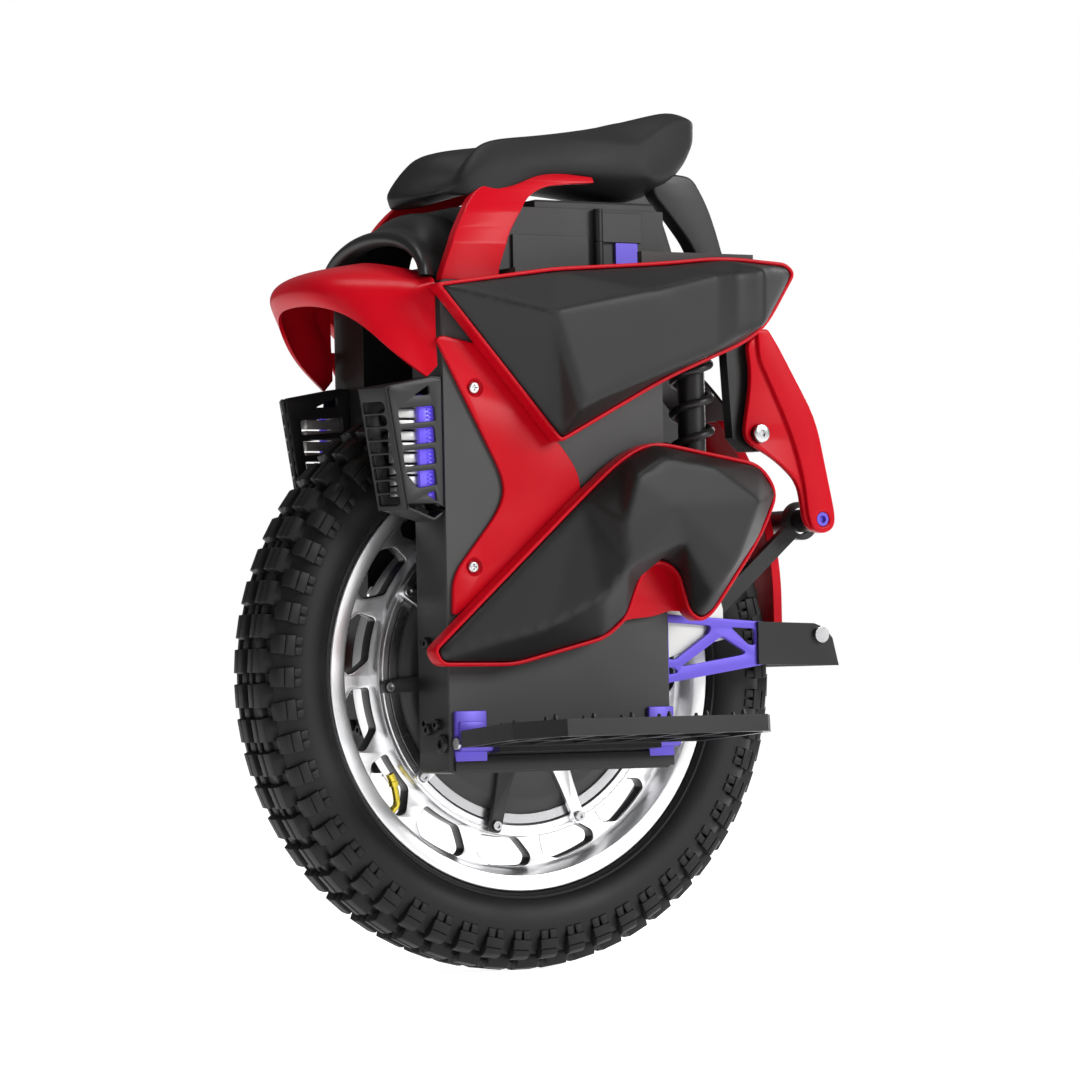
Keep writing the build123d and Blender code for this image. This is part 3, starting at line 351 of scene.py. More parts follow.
# %% [markdown]
# Most pieces are one of a few kinds: a ring turned about the axle, a plate that stands along the wheel, a
# loft between rings of points, or a bent tube. A small helper makes each kind from millimetres, and
# `fit_piece` smooths it, paints it and hangs it on its body, so every piece is finished in the same way.
# %% Helpers for making and fitting pieces
AXLE_Z = 252.5
SMOOTH_ANGLE = radians(38)


def make_mesh(name, spots, faces):
    """A mesh from points in millimetres, with its faces turned outwards."""
    mesh = bpy.data.meshes.new(name)
    mesh.from_pydata([(x * MM, y * MM, z * MM) for x, y, z in spots], [], faces)
    turn_out(mesh)
    return mesh


@contextmanager
def editing(mesh):
    """Open a mesh for changes to its points and faces, and store them at the end."""
    work = bmesh.new()
    work.from_mesh(mesh)
    yield work
    work.to_mesh(mesh)
    work.free()


def turn_out(mesh):
    with editing(mesh) as work:
        bmesh.ops.recalc_face_normals(work, faces=work.faces)


def hold(name, mesh):
    holder = bpy.data.objects.new(name, mesh)
    scene.collection.objects.link(holder)
    return holder


def settle(holder):
    """Apply the modifiers of an object and give back its final mesh."""
    graph = bpy.context.evaluated_depsgraph_get()
    mesh = bpy.data.meshes.new_from_object(holder.evaluated_get(graph))
    holder.modifiers.clear()
    return mesh


def worked(mesh, *tools):
    """The mesh after a row of modifiers, each given as its kind and its settings."""
    holder = hold("work", mesh)
    for kind, settings in tools:
        tool = holder.modifiers.new(kind.lower(), kind)
        for label, value in settings.items():
            setattr(tool, label, value)
    final = settle(holder)
    bpy.data.objects.remove(holder)
    return final


def bevelled(mesh, width, segments=2, angle=35):
    """Round the sharp edges of a mesh."""
    return worked(mesh, ("BEVEL", {"width": width * MM, "segments": segments, "limit_method": "ANGLE",
                                   "angle_limit": radians(angle), "use_clamp_overlap": True}))


def subdivided(mesh, levels):
    return worked(mesh, ("SUBSURF", {"levels": levels, "render_levels": levels}))


def softened(mesh, voxel, rounds):
    """One even skin over a coarse mesh, with its edges relaxed as moulded foam has them."""
    return worked(mesh, ("REMESH", {"mode": "VOXEL", "voxel_size": voxel * MM}),
                  ("SMOOTH", {"factor": 0.5, "iterations": rounds}))


def joined(*meshes):
    """Several meshes as one."""
    work = bmesh.new()
    for mesh in meshes:
        work.from_mesh(mesh)
    whole = bpy.data.meshes.new("joined")
    work.to_mesh(whole)
    work.free()
    return whole


def flipped(mesh):
    """The mirror image on the other side of the wheel."""
    other = mesh.copy()
    other.transform(Matrix.Diagonal((1, -1, 1, 1)))
    other.flip_normals()
    return other


def both(mesh):
    return joined(mesh, flipped(mesh))


def fit_piece(name, mesh, body, slot, stands_for=(), smooth=SMOOTH_ANGLE, finish=None):
    """Shade, paint and hang a finished mesh on its body."""
    mesh.shade_smooth()
    if smooth:
        mesh.set_sharp_from_angle(angle=smooth)
    mesh.name = name
    mesh.materials.clear()
    mesh.materials.append(finish or FINISHES[slot])
    piece = hold(name, mesh)
    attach(piece, body)
    if stands_for:
        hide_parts(*stands_for)
    print(name, len(mesh.polygons), "faces")
    return piece


def turned(profile, steps=180):
    """A ring about the axle, from a closed profile of (radius, y)."""
    count = len(profile)
    spots = []
    for k in range(steps):
        angle = 2 * pi * k / steps
        spots += [(r * cos(angle), y, AXLE_Z + r * sin(angle)) for r, y in profile]
    faces = [(k * count + j, k * count + (j + 1) % count,
              (k + 1) % steps * count + (j + 1) % count, (k + 1) % steps * count + j)
             for k in range(steps) for j in range(count)]
    return make_mesh("turned", spots, faces)


def rounded(corners, radius, steps=5):
    """Swap each corner of an outline for a short curve."""
    path = []
    for index, corner in enumerate(corners):
        reach = radius[index] if isinstance(radius, (list, tuple)) else radius
        here = Vector(corner)
        before = Vector(corners[index - 1]) - here
        after = Vector(corners[(index + 1) % len(corners)]) - here
        start = here + before.normalized() * min(reach, before.length * 0.48)
        end = here + after.normalized() * min(reach, after.length * 0.48)
        for k in range(steps + 1):
            t = k / steps
            path.append(tuple(start * (1 - t) ** 2 + here * 2 * t * (1 - t) + end * t * t))
    return path


def circle(x, z, radius, steps=32):
    return [(x + radius * cos(2 * pi * k / steps), z + radius * sin(2 * pi * k / steps)) for k in range(steps)]


def inset(path, amount):
    """An outline pulled in by an even amount."""
    area = sum(path[k - 1][0] * path[k][1] - path[k][0] * path[k - 1][1] for k in range(len(path)))
    side = 1 if area > 0 else -1
    pulled = []
    for index, spot in enumerate(path):
        here = Vector(spot)
        into = (here - Vector(path[index - 1])).normalized()
        out = (Vector(path[(index + 1) % len(path)]) - here).normalized()
        first = Vector((-into.y, into.x)) * side
        second = Vector((-out.y, out.x)) * side
        middle = (first + second).normalized()
        pulled.append(tuple(here + middle * amount / max(middle.dot(first), 0.6)))
    return pulled


def slab(loops, thick, edge, place):
    """A flat sheet with rounded edges: the first loop is its outline, the others are its holes.
    The matrix carries its drawing plane to where it stands."""
    curve = bpy.data.curves.new("outline", "CURVE")
    curve.dimensions = "2D"
    curve.fill_mode = "BOTH"
    curve.extrude = (thick / 2 - edge) * MM
    curve.bevel_depth = edge * MM
    curve.bevel_resolution = 2
    curve.offset = -edge * MM
    for loop in loops:
        line = curve.splines.new("POLY")
        line.points.add(len(loop) - 1)
        for point, (across, up) in zip(line.points, loop):
            point.co = (across * MM, up * MM, 0, 1)
        line.use_cyclic_u = True
    mesh = settle_curve(hold("work", curve))
    mesh.transform(place)
    with editing(mesh) as work:
        bmesh.ops.remove_doubles(work, verts=work.verts, dist=0.000005)
        bmesh.ops.recalc_face_normals(work, faces=work.faces)
    return mesh


def plate(loops, y0, y1, edge=1.0):
    """A slab that stands along the wheel, between two distances from the centre."""
    middle = (y0 + y1) / 2 * MM
    return slab(loops, y1 - y0, edge, Matrix(((1, 0, 0, 0), (0, 0, -1, middle), (0, 1, 0, 0), (0, 0, 0, 1))))


def settle_curve(holder):
    graph = bpy.context.evaluated_depsgraph_get()
    mesh = bpy.data.meshes.new_from_object(holder.evaluated_get(graph))
    bpy.data.objects.remove(holder)
    return mesh


def tube(points, radius, smooth_path=True, ends=True):
    """A round bar along a path of points in millimetres."""
    curve = bpy.data.curves.new("bar", "CURVE")
    curve.dimensions = "3D"
    curve.bevel_depth = radius * MM
    curve.bevel_resolution = 5
    curve.use_fill_caps = ends
    curve.resolution_u = 8
    line = curve.splines.new("NURBS" if smooth_path else "POLY")
    line.points.add(len(points) - 1)
    for point, (x, y, z) in zip(line.points, points):
        point.co = (x * MM, y * MM, z * MM, 1)
    if smooth_path:
        line.order_u = 3
        line.use_endpoint_u = True
    return settle_curve(hold("work", curve))


def loft(rings, closed_ends=True, ring_closed=True):
    """A skin through rings that all have the same number of points."""
    count = len(rings[0])
    spots = [spot for ring in rings for spot in ring]
    span = count if ring_closed else count - 1
    faces = [(i * count + j, i * count + (j + 1) % count,
              (i + 1) * count + (j + 1) % count, (i + 1) * count + j)
             for i in range(len(rings) - 1) for j in range(span)]
    if closed_ends:
        faces += [tuple(range(count)), tuple(range(len(spots) - count, len(spots)))]
    return make_mesh("loft", spots, faces)


def block(x0, x1, y0, y1, z0, z1):
    ring = [(x0, z0), (x1, z0), (x1, z1), (x0, z1)]
    return loft([[(x, y, z) for x, z in ring] for y in (y0, y1)])


def about_axle(mesh, angle):
    """Turn a mesh made at the front of the wheel to an angle above forward."""
    mesh.transform(Matrix.Translation((0, 0, AXLE_Z * MM)) @ Matrix.Rotation(-radians(angle), 4, "Y")
                   @ Matrix.Translation((0, 0, -AXLE_Z * MM)))
    return mesh


print("helpers ready")


# %% [markdown]
# The tyre is a fat tube with four rows of rubber knobs, 54 in each. Two rows of square blocks meet the
# ground, and a row of stepped shoulder knobs on each side stands half a pitch out of line with them.
# Each knob is a small prism that narrows towards its top and has a slit, called a sipe, cut in its face.
# %% Make the tyre
KNOBS = 54
CARCASS = [(178, 20.6), (185.4, 21.4), (187, 27.2), (189.5, 29.6), (191.2, 29.4), (192.4, 30.6), (194, 32),
           (198, 34.4), (204, 36.8), (212, 37.9), (220, 37.4), (228, 34.6), (235, 30), (240, 23.5), (242.6, 15),
           (243.2, 6), (243.6, 0)]


def tyre_carcass():
    outer = CARCASS + [(r, -y) for r, y in CARCASS[-2::-1]]
    inner = [(r - 6 if r > 235 else r - 1, y * 0.83) for r, y in CARCASS[5:]]
    inner = inner + [(r, -y) for r, y in inner[-2::-1]]
    return turned(outer + inner[::-1], 216)


def knob(profile, length, taper, angle):
    """A rubber knob from its outline across the tread, as (radius, y), and its length around the tyre."""
    rings = []
    low = min(r for r, _ in profile)
    high = max(r for r, _ in profile)
    for end in (-1, 1):
        ring = []
        for r, y in profile:
            half = (length / 2 - taper * (r - low) / (high - low)) / r
            turn = radians(angle) + end * half
            ring.append((r * cos(turn), y, AXLE_Z + r * sin(turn)))
        rings.append(ring)
    return loft(rings)


CENTRE_KNOB = [(241, 4.0), (252.2, 5.0), (252.5, 12.0), (250.4, 12.6), (250.4, 13.8), (252.0, 14.4),
               (250.6, 22.6), (247.0, 23.8), (237, 25.2)]
SHOULDER_KNOB = [(234, 26), (243.6, 28.0), (242.0, 34.2), (239.6, 37.2), (235.4, 38.6), (234.9, 37.2),
                 (234.1, 38.8), (226.4, 39.7), (225.2, 36)]
STEP_KNOB = [(227, 35.5), (225.6, 39.2), (218.6, 38.7), (217.4, 36.5)]


def tyre_knobs():
    pitch = 360 / KNOBS
    work = bmesh.new()
    for index in range(KNOBS):
        angle = -90 + index * pitch
        for side in (1, -1):
            centre = [(r, side * y) for r, y in CENTRE_KNOB]
            shoulder = [(r, side * y) for r, y in SHOULDER_KNOB]
            step = [(r, side * y) for r, y in STEP_KNOB]
            work.from_mesh(knob(centre, 21.5, 1.1, angle))
            work.from_mesh(knob(shoulder, 17.5, 1.3, angle + pitch / 2))
            for turn in (-1.1, 1.1):
                work.from_mesh(knob(step, 7.0, 0.6, angle + pitch / 2 + turn))
        tie = [(241, -3.2), (246.5, -2.6), (246.5, 2.6), (241, 3.2)]
        work.from_mesh(knob(tie, 8, 0.5, angle + (3 if index % 2 else -3)))
        bar = [(241, 7), (246, 8), (246, 16), (240, 17)]
        for side in (1, -1):
            work.from_mesh(knob([(r, side * y) for r, y in bar], 9, 0.5, angle + pitch / 2))
    mesh = bpy.data.meshes.new("knobs")
    work.to_mesh(mesh)
    work.free()
    return bevelled(mesh, 0.7, 2, 30)


fit_piece("tyre_carcass", tyre_carcass(), "wheel", "tyre", ["tyre"])
fit_piece("tyre_knobs", tyre_knobs(), "wheel", "tyre")


# %% [markdown]
# The rim is a polished casting. A barrel carries the tyre, a thin web with fifteen openings joins it to a
# deep inner ring, and the web's openings have one curved side and one straight side between its spokes.
# %% Make the rim
WEB_OUT = 163.8
WEB_IN = 140.0
# The web runs on into the barrel and the ring, where its edges don't show and can't meet its openings.
WEB_EDGE = 169
WEB_BORE = 134
SPOKES = 15
FIRST_SPOKE = -1.5


def rim_opening(middle):
    """One opening of the web, as an outline about the axle; middle is its angle above forward."""
    def spot(radius, angle):
        turn = radians(middle + angle)
        return radius * cos(turn), AXLE_Z + radius * sin(turn)

    outer = [spot(WEB_OUT, -8.6 + k * 14.2 / 6) for k in range(7)]
    inner = [spot(WEB_IN, 9.6 - k * 14.6 / 6) for k in range(7)]
    corners = outer + [spot(156, 9.4)] + inner + [spot(150, -8.2), spot(157, -9.9)]
    return rounded(corners, 3.2, 3)


def rim_web():
    outline = circle(0, AXLE_Z, WEB_EDGE, 144)
    bore = circle(0, AXLE_Z, WEB_BORE, 120)
    openings = [rim_opening(FIRST_SPOKE + (index + 0.5) * 360 / SPOKES) for index in range(SPOKES)]
    return plate([outline, bore] + openings, -7, 7, 1.2)


def rim_barrel():
    half = [(178, 20.4), (184.8, 21), (185.2, 25.2), (184.2, 26), (173.2, 26), (171.8, 25.3), (170.4, 22),
            (168, 13), (166.2, 8.5), (163.8, 6.2)]
    profile = half + [(r, -y) for r, y in half[::-1]] + [(170, -9), (170, 9)]
    return turned(profile, 240)


RING_HALF = [(139.2, 22), (138.4, 23.4), (135.6, 23.4), (134.9, 22.4), (134.2, 23.2), (129.6, 23.2),
             (128.6, 22)]
fit_piece("rim_barrel", rim_barrel(), "wheel", "polished_alloy", ["rim"])
# The walls of the web's openings are coloured near-black by their direction; faces across the axle keep the
# alloy tone.
fit_piece("rim_web", rim_web(), "wheel", "polished_alloy", finish=FINISHES["dark_walled_alloy"])
fit_piece("rim_inner_ring", turned(RING_HALF + [(r, -y) for r, y in RING_HALF[::-1]], 240), "wheel",
          "polished_alloy")


# %% [markdown]
# The motor's black end covers dip near their edge. Ten flat arms on each side screw the motor to the
# inner ring, and every second arm is machined bright, so one half of them reads silver and one half black.
# %% Make the motor covers and arms
COVER_PROFILE = [(14, 26), (24, 26), (26, 32), (74, 32), (80, 28), (84, 26), (106, 26), (111, 25), (116, 21.6),
                 (119, 20.6), (127.6, 20.6), (127.6, 18), (14, 18)]


def motor_arm(angle):
    edge = rounded([(66, AXLE_Z - 11), (100, AXLE_Z - 6.6), (138.5, AXLE_Z - 5.4), (138.5, AXLE_Z + 5.4),
                    (100, AXLE_Z + 6.6), (66, AXLE_Z + 11)], [1, 20, 4, 4, 20, 1])
    arm = plate([edge, circle(132.5, AXLE_Z, 4.3, 20)], 26.2, 31, 0.6)
    foot = loft([[(132.5 + 4.6 * cos(k * pi / 8), y, AXLE_Z + 4.6 * sin(k * pi / 8)) for k in range(16)]
                 for y in (21, 29.4)])
    return about_axle(joined(arm, foot), angle)


bright_arms = both(joined(*[motor_arm(32 + 72 * k) for k in range(5)]))
dark_arms = both(joined(*[motor_arm(68 + 72 * k) for k in range(5)]))
fit_piece("motor_covers", both(turned(COVER_PROFILE, 160)), "wheel", "motor_black", ["motor_side_plates"])
fit_piece("bright_motor_arms", bright_arms, "wheel", "polished_alloy", ["motor_spiders"])
fit_piece("dark_motor_arms", dark_arms, "wheel", "motor_black")


# %% [markdown]
# The valve is a plated elbow. It comes out of the rim's well and bends along the opening, so a pump can
# reach its cap from the side.
# %% Make the valve
def valve():
    bend = [(170, 3, 0), (163, 8, 0), (158, 8.5, 1), (152.5, 8.5, 8), (149, 8.5, 14)]
    spots = [(r, y, AXLE_Z + z) for r, y, z in bend]
    stem = tube(spots, 3.0)
    nut = tube([spots[-1], (147, 8.5, AXLE_Z + 17.5)], 4.4, False)
    cap = tube([(147.2, 8.5, AXLE_Z + 17.4), (145, 8.5, AXLE_Z + 24)], 3.7, False)
    return about_axle(bevelled(joined(stem, nut, cap), 0.4), -43.6)


fit_piece("valve", valve(), "wheel", "brass", ["valve_stem"])


# %% [markdown]
# Each knee pad sits in a shallow painted tray with a thin raised rim. The trays are plates with a hollow
# front, and the outline of each rim has softly turned corners.
# %% Make the pad trays
UPPER_EDGE = [(127, 575), (13, 591), (-100, 599), (-154, 605), (-220, 601), (-229, 592), (-198, 545),
              (-175, 530), (-95, 498), (10, 444)]
UPPER_TURN = [5, 12, 25, 25, 7, 7, 18, 14, 25, 5]
LOWER_EDGE = [(136, 273), (-9, 400), (-49, 433), (-80, 447), (-189, 428), (-207, 403), (-188, 364),
              (-138, 300), (-125, 292), (-112, 300), (-102, 334), (-88, 343), (-74, 340), (-65, 327),
              (-52, 296), (-30, 279), (59, 258), (129, 259)]
LOWER_TURN = [6, 25, 22, 20, 14, 14, 25, 9, 7, 7, 9, 9, 8, 8, 10, 12, 12, 8]
TRAY_BACK = 99
TRAY_FACE = 115
RIM_WIDTH = 3.2


def tray(edge):
    wall = plate([edge, inset(edge, RIM_WIDTH)], TRAY_BACK, TRAY_FACE, 1.1)
    floor = plate([inset(edge, 1)], TRAY_BACK, TRAY_BACK + 4, 0.3)
    return joined(wall, floor)


upper_edge = rounded(UPPER_EDGE, UPPER_TURN)
lower_edge = rounded(LOWER_EDGE, LOWER_TURN)
fit_piece("upper_trays", both(tray(upper_edge)), "frame", "red_paint", ["upper_pad_frames"])
NOTCH_WEB = [(-113, 302), (-104, 336), (-88, 345), (-72, 342), (-62, 328), (-48, 292), (-61, 296), (-85, 298),
             (-101, 303)]
web = plate([rounded(NOTCH_WEB, [2, 8, 8, 8, 8, 2, 6, 8, 6])], TRAY_BACK, TRAY_BACK + 3, 0.5)
fit_piece("lower_trays", both(joined(tray(lower_edge), web)), "frame", "red_paint", ["lower_pad_frames"])


# %% [markdown]
# The pads are moulded foam with a smooth skin. A coarse cage gives their facets: a long outer face, a
# sloping face in front that the knee pushes on, and narrow faces above and below. The cage then gets one
# even skin, and relaxing it rounds every ridge as a mould does, which a plain bevel would leave too crisp.
# %% Make the four pads
PAD_BED = 104.0
PAD_LIP = 115.5
UPPER_CREST = [(37, 551, 150), (-60, 570, 151), (-127, 586, 150), (-176, 592, 145), (-175, 543, 145),
               (-125, 521, 150), (9, 471, 149), (-153, 589, 142), (-151, 533, 143)]
UPPER_FACES = ["r0 r1 c0", "r1 r2 c1 c0", "r2 r3 c2 c1", "r3 c7 c2", "r3 r4 c3 c7", "r4 r5 c3", "r5 r6 c4 c3",
               "r6 r7 c8 c4", "r7 r8 c5 c8", "r8 r9 c6 c5", "r9 r0 c0 c6", "c0 c1 c5 c6", "c1 c2 c5",
               "c2 c7 c8 c5", "c7 c3 c4 c8"]
LOWER_CREST = [(112, 268, 119), (36, 290, 135), (-12, 313, 143), (-33, 340, 149), (-28, 376, 151),
               (-40, 414, 151), (-71, 431, 148), (-119, 424, 147), (-166, 394, 147), (-141, 341, 146),
               (-124, 315, 138), (-78, 388, 152), (-92, 360, 143)]
LOWER_FACES = ["r0 r1 c1 c0", "r1 c2 c1", "r1 c3 c2", "r1 c4 c3", "r1 r2 c4", "r2 c5 c4", "r2 r3 c6 c5",
               "r3 r4 c7 c6", "r4 c8 c7", "r4 r5 c8", "r5 r6 c8", "r6 c9 c8", "r6 r7 c10 c9", "r7 r8 c10",
               "r8 r9 c10", "r9 r10 c12 c10", "r10 r11 c12", "r11 r12 c12", "r12 r13 c12", "r13 c3 c12",
               "r13 r14 c3", "r14 r15 c2 c3", "r15 r16 c1 c2", "r16 r17 c0 c1", "r17 r0 c0", "c3 c4 c11 c12",
               "c4 c5 c11", "c5 c6 c11", "c6 c7 c11", "c7 c8 c11", "c8 c9 c11", "c9 c10 c12 c11"]


def pad_cage(edge, crest, faces):
    """A closed cage: a bed in the tray, a lip level with its rim, and the named faces out to the crest."""
    rim = inset(edge, RIM_WIDTH + 0.2)
    count = len(rim)
    spots = [(x, PAD_BED, z) for x, z in rim] + [(x, PAD_LIP, z) for x, z in rim]
    spots += [(x, y, z) for x, z, y in crest]
    quads = [(k, (k + 1) % count, count + (k + 1) % count, count + k) for k in range(count)]
    named = {f"r{k}": count + k for k in range(count)}
    named.update({f"c{k}": 2 * count + k for k in range(len(crest))})
    quads += [tuple(named[label] for label in face.split()) for face in faces]
    return make_mesh("pad", spots, quads + [tuple(range(count))])


def knee_pad(edge, crest, faces):
    return softened(pad_cage(edge, crest, faces), 3.0, 10)


for label, edge, crest, faces in (("upper_pad", UPPER_EDGE, UPPER_CREST, UPPER_FACES),
                                  ("lower_pad", LOWER_EDGE, LOWER_CREST, LOWER_FACES)):
    near = knee_pad(edge, crest, faces)
    for side, mesh in (("left", near), ("right", flipped(near))):
        pad = fit_piece(f"{side}_{label}_foam", mesh, "frame", "pad_foam", [f"{side}_{label}"], smooth=None)


# %% [markdown]
# A painted bracket bends round each leg and carries both trays. It is a plate with a softly rounded edge
# and two dished recesses for its screws.
# %% Make the brackets
BRACKET_EDGE = [(119, 530), (113, 533), (77, 526), (0, 442), (-18, 417), (-16, 389), (105, 301), (108, 303),
                (107, 334), (60, 390), (55, 412), (113, 519)]
BRACKET_TURN = [3, 3, 6, 20, 16, 16, 3, 3, 14, 20, 20, 4]
SCREWS = [(83.0, 490.0), (87.0, 341.0)]


def bracket():
    face = plate([rounded(BRACKET_EDGE, BRACKET_TURN)] + [circle(x, z, 7.4) for x, z in SCREWS], 95, 99, 1.1)
    dishes = [loft([[(x + r * cos(k * pi / 12), y, z + r * sin(k * pi / 12)) for k in range(24)]
                    for r, y in ((7.6, 98.2), (5.6, 95.6), (5.2, 95.3))], closed_ends=False)
              for x, z in SCREWS]
    backs = [plate([circle(x, z, 7.6)], 95, 95.5, 0.1) for x, z in SCREWS]
    return joined(face, *backs, *dishes)


fit_piece("leg_brackets", both(bracket()), "frame", "red_paint", ["pad_brackets"])


# %% [markdown]
# The front cowl is a red beak that bridges both legs above the tyre. A coarse net of points from the leg
# to the centre line is mirrored and subdivided. One sloping fold near the leg stays sharp, and the sheet
# is given its thickness afterwards, so its lower edge shows as a thin arch.
# %% Make the front cowl
COWL_NET = [
    [(116, 95, 508), (117, 95, 531), (117, 95, 577), (111, 82, 583), (109, 66, 587)],
    [(125, 93, 499), (133, 86, 537), (143, 88, 572), (130, 78, 583), (114, 64, 589)],
    [(157, 85, 523), (162, 81, 549), (165, 76, 574), (152, 66, 586), (126, 54, 593)],
    [(179, 68, 549), (187, 63, 562), (186, 60, 578), (170, 52, 589), (132, 40, 596)],
    [(193, 42, 559), (203, 46, 569), (200, 42, 582), (182, 34, 591), (138, 24, 599)],
    [(198, 16, 562), (208, 17, 571), (205, 15, 584), (184, 13, 593), (141, 9, 600)],
]
COWL_THICK = 3.6


def cowl():
    half = [[(x, y, z) for x, y, z in column] for column in COWL_NET]
    net = [[(x, -y, z) for x, y, z in column] for column in half] + half[::-1]
    count = len(net[0])
    spots = [spot for column in net for spot in column]
    folds = set()
    faces = []
    last = len(net) - 1
    for i in range(last):
        for j in range(count - 1):
            a, b, c, d = i * count + j, i * count + j + 1, (i + 1) * count + j + 1, (i + 1) * count + j
            if j == 1 and i == 0:
                faces += [(a, b, c), (a, c, d)]
                folds.add(frozenset((a, c)))
            elif j == 1 and i == last - 1:
                faces += [(a, b, d), (b, c, d)]
                folds.add(frozenset((b, d)))
            else:
                faces.append((a, b, c, d))
    for i in (0, last - 1):
        folds.add(frozenset((i * count + 2, (i + 1) * count + 2)))
    mesh = make_mesh("cowl", spots, faces)
    with editing(mesh) as work:
        crease = work.edges.layers.float.new("crease_edge")
        for edge in work.edges:
            ends = frozenset(vertex.index for vertex in edge.verts)
            if ends in folds:
                edge[crease] = 0.9
            elif edge.is_boundary and all(abs(vertex.co.x) < 0.1175 for vertex in edge.verts):
                edge[crease] = 1.0
        pinned = work.verts.layers.float.new("crease_vert")
        for vertex in work.verts:
            if vertex.index in {0, count, last * count, (last - 1) * count}:
                vertex[pinned] = 1.0
    sheet = worked(subdivided(mesh, 3), ("SOLIDIFY", {"thickness": COWL_THICK * MM, "offset": -1}))
    return bevelled(sheet, 0.8, 2, 50)


fit_piece("cowl_skin", cowl(), "frame", "red_paint", ["front_cowl"], smooth=radians(16))


# %% [markdown]
# Above the cowl stands a black dome with a thick rolled lip, like the mouth of an air scoop. It is one loft
# of half hoops: they widen towards the mouth, swell into the lip and then turn back inside it.
# %% Make the nose dome
DOME_HOOPS = [(57, 60, 636), (61, 62, 641), (70, 64, 644), (82, 66, 645), (93, 68.5, 643.5), (101, 72, 640),
              (107, 76.5, 634), (111, 81, 629.5), (115, 87, 628.5), (120, 91, 628.5), (124.5, 92, 627),
              (127.2, 90, 624), (127.4, 86, 619.5), (125, 81, 616), (120, 77, 614.5), (112, 74.5, 615),
              (104, 70, 622), (96, 66, 633)]
DOME_FOOT = 584


def dome():
    rings = []
    for x, half, top in DOME_HOOPS:
        ring = []
        for k in range(41):
            turn = pi * k / 40
            across = abs(cos(turn)) ** 0.97 * (1 if k < 20 else -1)
            ring.append((x, half * across, DOME_FOOT + (top - DOME_FOOT) * sin(turn) ** 0.97))
        rings.append(ring)
    return subdivided(loft(rings, closed_ends=False, ring_closed=False), 1)


fit_piece("nose_dome_skin", dome(), "frame", "black_plastic", ["nose_dome"])


# %% [markdown]
# The seat rests on two red arms that rise from the legs, lean in and curl back under it. Each arm is a flat
# plate first. It is then cut into bands and pushed sideways band by band, so it leans above a clear crease.
# %% Make the seat arms
ARM_EDGE = [(107, 580), (105, 588), (93, 618), (68, 656), (42, 668), (13, 675), (-18, 677), (-56, 674),
            (-57, 669), (-30, 667), (-6, 664), (12, 655), (24, 641), (40, 620), (47, 602), (51, 590), (51, 580)]
ARM_TURN = [1, 3, 8, 22, 20, 20, 20, 1.5, 1.5, 20, 12, 14, 20, 14, 10, 4, 1]
ARM_LEAN = [(570, 0), (612, 0), (640, -8), (657, -16), (668, -21), (680, -25)]


def lean(z):
    for (z0, y0), (z1, y1) in zip(ARM_LEAN, ARM_LEAN[1:]):
        if z <= z1:
            return y0 + (y1 - y0) * max(0, z - z0) / (z1 - z0)
    return ARM_LEAN[-1][1]


def seat_arm():
    mesh = plate([rounded(ARM_EDGE, ARM_TURN)], 78, 88, 1.1)
    with editing(mesh) as work:
        for z in (612, 626, 640, 648, 657, 662, 668):
            everything = work.verts[:] + work.edges[:] + work.faces[:]
            bmesh.ops.bisect_plane(work, geom=everything, plane_co=(0, 0, z * MM), plane_no=(0, 0, 1))
        for vertex in work.verts:
            vertex.co.y += lean(vertex.co.z / MM) * MM
    return mesh


fit_piece("seat_horns", both(seat_arm()), "frame", "red_paint", ["seat_arms"], smooth=radians(24))


# %% [markdown]
# The seat is one padded shape with two long lobes and a valley between them. It rises to a high tail, has
# a flat facet on each side of the tail and a rounded belly below. A mirrored net of rings is subdivided.
# %% Make the seat
SEAT_RINGS = [
    [(28, 0, 676), (42, 18, 672), (64, 36, 666), (83, 56, 660), (84, 65, 657), (78, 64, 653.5), (62, 38, 655),
     (30, 0, 667)],
    [(20, 0, 683), (32, 16, 686), (48, 34, 698), (58, 57, 694), (70, 68, 676), (64, 69, 654), (50, 40, 657),
     (24, 0, 666)],
    [(8, 0, 687), (16, 16, 695), (28, 36, 707), (40, 58, 704), (38, 71, 684), (34, 72, 656), (25, 40, 663),
     (12, 0, 667)],
    [(-15, 0, 692), (-12, 15, 702), (-6, 38, 711), (-4, 59, 707), (0, 70, 689), (6, 69, 672),
     (-12, 40, 676), (-12, 0, 676)],
    [(-58, 0, 700), (-56, 16, 710), (-52, 38, 719), (-54, 60, 711), (-54, 67, 690), (-54, 65, 672),
     (-54, 38, 668), (-54, 0, 666)],
    [(-100, 0, 712), (-99, 18, 721), (-98, 38, 729), (-104, 63, 705), (-108, 67, 688), (-114, 65, 673),
     (-104, 36, 661), (-104, 0, 659)],
    [(-136, 0, 723), (-136, 20, 731), (-138, 38, 738), (-140, 56, 727), (-137, 60, 702), (-130, 60, 674),
     (-128, 34, 661), (-128, 0, 659)],
    [(-156, 0, 729), (-157, 20, 736), (-159, 35, 740), (-164, 48, 733), (-162, 53, 708), (-150, 54, 681),
     (-150, 34, 672), (-150, 0, 670)],
    [(-178, 0, 720), (-180, 16, 725), (-182, 30, 728), (-182, 40, 725), (-180, 44, 712), (-168, 44, 695),
     (-164, 28, 690), (-164, 0, 688)],
]
# Rows of the net where the skin folds: along the lobes' outer edge, and down the corner of the tail.
SEAT_FOLDS = {(0, 3): 0.5, (1, 3): 0.5, (2, 3): 0.45, (3, 3): 0.4, (4, 3): 0.4, (5, 3): 0.8, (6, 3): 0.8,
              (7, 3): 0.6, (0, 5): 0.5, (1, 5): 0.5, (2, 5): 0.4, (5, 5): 0.4, (6, 5): 0.4}
CORNER_RING = 5


